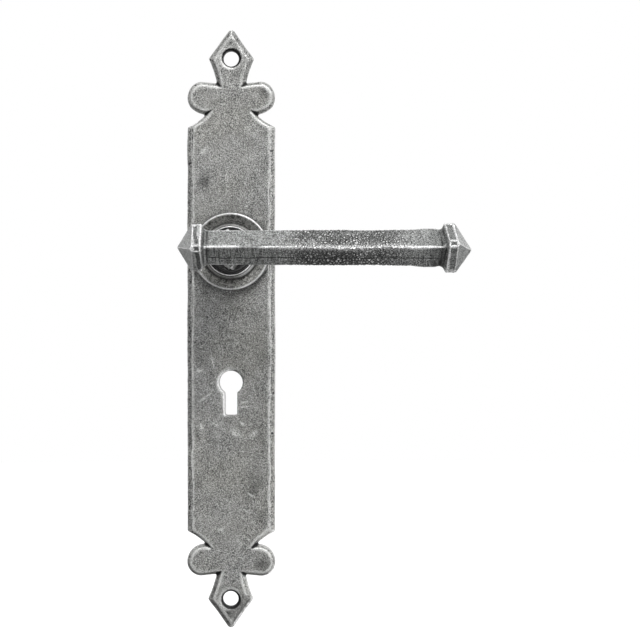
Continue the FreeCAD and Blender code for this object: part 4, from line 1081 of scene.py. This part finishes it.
def make_lever_pewter():
    material, tree, shader = start_material("lever_pewter", PEWTER_METALLIC)
    mottle = use_group(tree, "cast_mottle", {
        "Speck Size": 0.40 * MM, "Speck Share": 2.0, "Grain Size": 1.3 * MM, "Grain Share": 0.35,
        "Blotch Size": 6 * MM, "Blotch Share": 0.2})
    ground = stored(tree, "ground")
    striation = calc(tree, "SUBTRACT", noise_at(tree, 0.6 * MM, 2.0, 0.6, (1, 9, 9)), 0.5)
    brushed = times(tree, ground, blend_values(tree, stored(tree, "lower_face"), 0.3, 1.0))
    tone = calc(tree, "MULTIPLY_ADD", striation, brushed, mottle["Tone"])

    # Dark lines: the casting seam along the lower face, and the cracks of the scale.
    off_seam = calc(tree, "ABSOLUTE", calc(tree, "SUBTRACT", stored(tree, "seam"), 0.5))
    depth = span(tree, noise_at(tree, 6 * MM, 2.0), 0.35, 0.6, 0.7, 1.0)
    open_seam = times(tree, depth, stored(tree, "lower_face"))
    seam = times(tree, span(tree, off_seam, 0.25 * MM / SEAM_SPAN, 0.05 * MM / SEAM_SPAN), open_seam)
    cracks = times(tree, highest(tree, stored(tree, "cracks"), make_scale_cracks(tree)), 0.82)
    end_points = times(tree, stored(tree, "points"), 0.25)
    finish_pewter(tree, shader, tone, calc(tree, "MULTIPLY_ADD", striation, ground, mottle["Height"]), {
        "Contrast": 1.7,
        "Sunk And Shaded": highest(tree, stored(tree, "sunk"), seam, cracks, stored(tree, "collar_shade")),
        "Worn And Highlit": highest(
            tree, stored(tree, "worn"), stored(tree, "ridge"), end_points,
            stored(tree, "borders"), stored(tree, "crowns")),
        "Sheltered And Shaded": highest(tree, stored(tree, "sheltered"), stored(tree, "dirt_and_painted_shade")),
        "Body": tint(0.24, 0.975, 0.98),
        "Residue And Shade": RESIDUE_AND_SHADE,
        "Rubbed And Highlit": BARE_AND_HIGHLIT_PEWTER}, 0.10 * MM)
    return material


def make_machined(name, body, edge, metallic, roughness, ring_share, smear_share, bump=0.01 * MM):
    """Turned or drawn metal: lathe marks, thin scratches, oily smears and bright edges."""
    material, tree, shader = start_material(name, metallic)
    rings = use_group(tree, "ring_marks", {"Pitch": 0.25 * MM, "Run": 1.5})
    marks = use_group(tree, "handling_marks", {"Scratch Size": 2.5 * MM, "Smear Size": 3.5 * MM})
    edges = use_group(tree, "rubbed_edges", {"Width": 0.25 * MM, "Break Size": 1.2 * MM})
    turned = span(tree, rings["Tone"], 0.0, 1.0, 1 - ring_share, 1.0)
    smeared = span(tree, marks["Smears"], 0.0, 1.0, 1 - smear_share, 1.0)
    shade = as_grey(tree, times(tree, turned, smeared))
    colour = blend_colours(tree, 1.0, body, shade, "MULTIPLY")
    bright = highest(tree, edges["Mask"], times(tree, marks["Scratches"], 0.35))
    tree.links.new(blend_colours(tree, bright, colour, edge), shader.inputs["Base Color"])
    gloss = span(tree, marks["Smears"], 0.0, 1.0, roughness + 0.12, roughness)
    tree.links.new(gloss, shader.inputs["Roughness"])
    add_relief(tree, shader, calc(tree, "SUBTRACT", rings["Tone"], marks["Scratches"]), bump)
    return material


# ---------------------------------------------------------------- studio

def make_camera():
    data = bpy.data.cameras.new("studio_camera")
    data.lens = CAMERA_LENS
    data.sensor_width = 36.0
    camera = bpy.data.objects.new("studio_camera", data)
    bpy.context.scene.collection.objects.link(camera)
    middle = (cad_low + cad_high) / 2
    camera.location = (middle.x + CAMERA_ASIDE, -CAMERA_DISTANCE, middle.z + CAMERA_ABOVE)
    camera.rotation_euler = (math.radians(90), 0, 0)
    bpy.context.scene.camera = camera


def make_area_lamp(name, place, aim, width, height, power):
    data = bpy.data.lights.new(name, "AREA")
    data.shape = "RECTANGLE"
    data.size, data.size_y = width, height
    data.energy = power
    lamp = bpy.data.objects.new(name, data)
    bpy.context.scene.collection.objects.link(lamp)
    lamp.location = place
    lamp.rotation_euler = (Vector(aim) - Vector(place)).to_track_quat("-Z", "Y").to_euler()


def make_world():
    """White behind the part, and a grey room round it that is darker towards the ground."""
    world = bpy.data.worlds.new("white_studio")
    bpy.context.scene.world = world
    world.use_nodes = True
    tree = world.node_tree
    tree.nodes.clear()
    rays = add_node(tree, "LightPath").outputs
    way = add_node(tree, "SeparateXYZ", {0: add_node(tree, "TexCoord").outputs["Generated"]}).outputs
    room = span(tree, way["Z"], -0.25, 0.8, GROUND_LIGHT, SKY_LIGHT)
    behind = span(tree, way["Y"], 0.0, 0.4)
    mirrored = highest(tree, rays["Is Glossy Ray"], rays["Is Transmission Ray"])
    white = highest(tree, rays["Is Camera Ray"], times(tree, mirrored, behind))
    light = add_node(tree, "Background", {"Color": as_grey(tree, blend_values(tree, white, room, 1.0))})
    out = add_node(tree, "OutputWorld")
    tree.links.new(light.outputs[0], out.inputs["Surface"])


def make_disc(name, middle, drop):
    """Flat round mesh of rings that widen outwards."""
    rings, spokes = 12, 64
    verts = [(middle.x, middle.y, drop)]
    for ring in range(1, rings + 1):
        away = FLOOR_REACH * (ring / rings) ** 1.5
        for spoke in range(spokes):
            turn = 2 * math.pi * spoke / spokes
            verts.append((middle.x + away * math.cos(turn), middle.y + away * math.sin(turn), drop))
    faces = [(0, 1 + spoke, 1 + (spoke + 1) % spokes) for spoke in range(spokes)]
    for ring in range(rings - 1):
        inner, outer = 1 + ring * spokes, 1 + (ring + 1) * spokes
        for spoke in range(spokes):
            after = (spoke + 1) % spokes
            faces.append((inner + spoke, outer + spoke, outer + after, inner + after))
    mesh = bpy.data.meshes.new(name)
    mesh.from_pydata(verts, [], faces)
    return add_piece(name, mesh)


def make_floor():
    """Round pale floor under the part; it keeps the shadow and fades to white away from it."""
    drop = cad_low.z - FLOOR_DROP
    middle = (cad_low + cad_high) / 2
    floor = make_disc("pale_floor", middle, drop)
    material, tree, shader = start_material("pale_floor", 0.0)
    rays = add_node(tree, "LightPath").outputs
    position = add_node(tree, "NewGeometry").outputs["Position"]
    place = add_node(tree, "VectorMath", {0: position, 1: (middle.x, middle.y, drop)}, operation="SUBTRACT")
    away = add_node(tree, "VectorMath", {0: place.outputs[0]}, operation="LENGTH").outputs["Value"]
    way = add_node(tree, "SeparateXYZ", {0: place.outputs[0]}).outputs
    far = span(tree, away, 0.12, 0.40)

    # Metal mirrors the floor as white behind the part and in a strip to its right, and elsewhere as it is.
    behind = span(tree, way["Y"], 0.15, 0.4)
    strip = times(tree, span(tree, way["X"], 0.0, 0.03), span(tree, way["X"], 0.17, 0.13))
    mirrored = highest(tree, rays["Is Glossy Ray"], rays["Is Transmission Ray"])
    mirrored = times(tree, mirrored, highest(tree, behind, strip))
    seen = highest(tree, rays["Is Camera Ray"], mirrored)
    speckle = span(tree, noise_at(tree, 4 * MM, 3.0), 0.3, 0.7, 0.18, 0.21)
    tree.links.new(as_grey(tree, speckle), shader.inputs["Base Color"])
    shader.inputs["Roughness"].default_value = 0.9
    glow = times(tree, seen, blend_values(tree, far, 0.85, 1.0))
    tree.links.new(as_grey(tree, glow), shader.inputs["Emission Color"])
    shader.inputs["Emission Strength"].default_value = 1.0
    dress(floor, material)


def make_lamps():
    for name, (place, width, height, power) in LAMPS.items():
        make_area_lamp(name, place, LAMP_AIM, width, height, power)


# ---------------------------------------------------------------- build

def dress(piece, material):
    if not piece.material_slots:
        piece.data.materials.append(material)
    for slot in piece.material_slots:
        slot.material = material


make_cast_mottle()
make_pewter_patina()
make_ring_marks()
make_rubbed_edges()
make_handling_marks()

make_camera()
make_world()
make_lamps()
make_floor()

dress(make_plate(), make_plate_pewter())
dress(make_rose(), make_rose_pewter())
dress(make_lever(), make_lever_pewter())

# Machined metals: body colour, colour of rubbed edges, metallic, roughness, and how strongly lathe rings
# and smears darken them.
METALS = {
    # The bearing sleeve deep in the collar is near black as painted shade.
    "painted_shade_steel": (grey(0.004), grey(0.40), 0.2, 0.6, 0.4, 0.5),
    "spring_steel": ((0.11, 0.12, 0.15, 1), grey(0.5), 0.9, 0.35, 0.2, 0.5),
    "zinc_plate": ((0.60, 0.62, 0.66, 1), grey(0.85), 0.85, 0.38, 0.2, 0.35),
    "drawn_steel": (grey(0.40), grey(0.8), 0.9, 0.36, 0.2, 0.4),
    "black_oxide": (grey(0.03), grey(0.35), 0.7, 0.42, 0.3, 0.4),
    "bearing_bronze": ((0.50, 0.30, 0.12, 1), (0.85, 0.6, 0.3, 1), 0.9, 0.35, 0.5, 0.3),
}
NODES_OF_METAL = {
    "painted_shade_steel": ("bearing_sleeve",),
    "spring_steel": ("circlip",),
    "zinc_plate": ("rear_cover", "drive_plate", "rose_screw_1", "rose_screw_2", "rose_screw_3"),
    "drawn_steel": ("rest_stop_pin", "travel_stop_pin", "square_spindle"),
    "black_oxide": ("spindle_grub_screw",),
    "bearing_bronze": ("thrust_washer",),
}
for metal, values in METALS.items():
    finish = make_machined(metal, *values)
    for node in NODES_OF_METAL[metal]:
        dress(frame["nodes"][node], finish)
dress(make_spring(), bpy.data.materials["spring_steel"])

bpy.context.scene.view_settings.view_transform = "Standard"
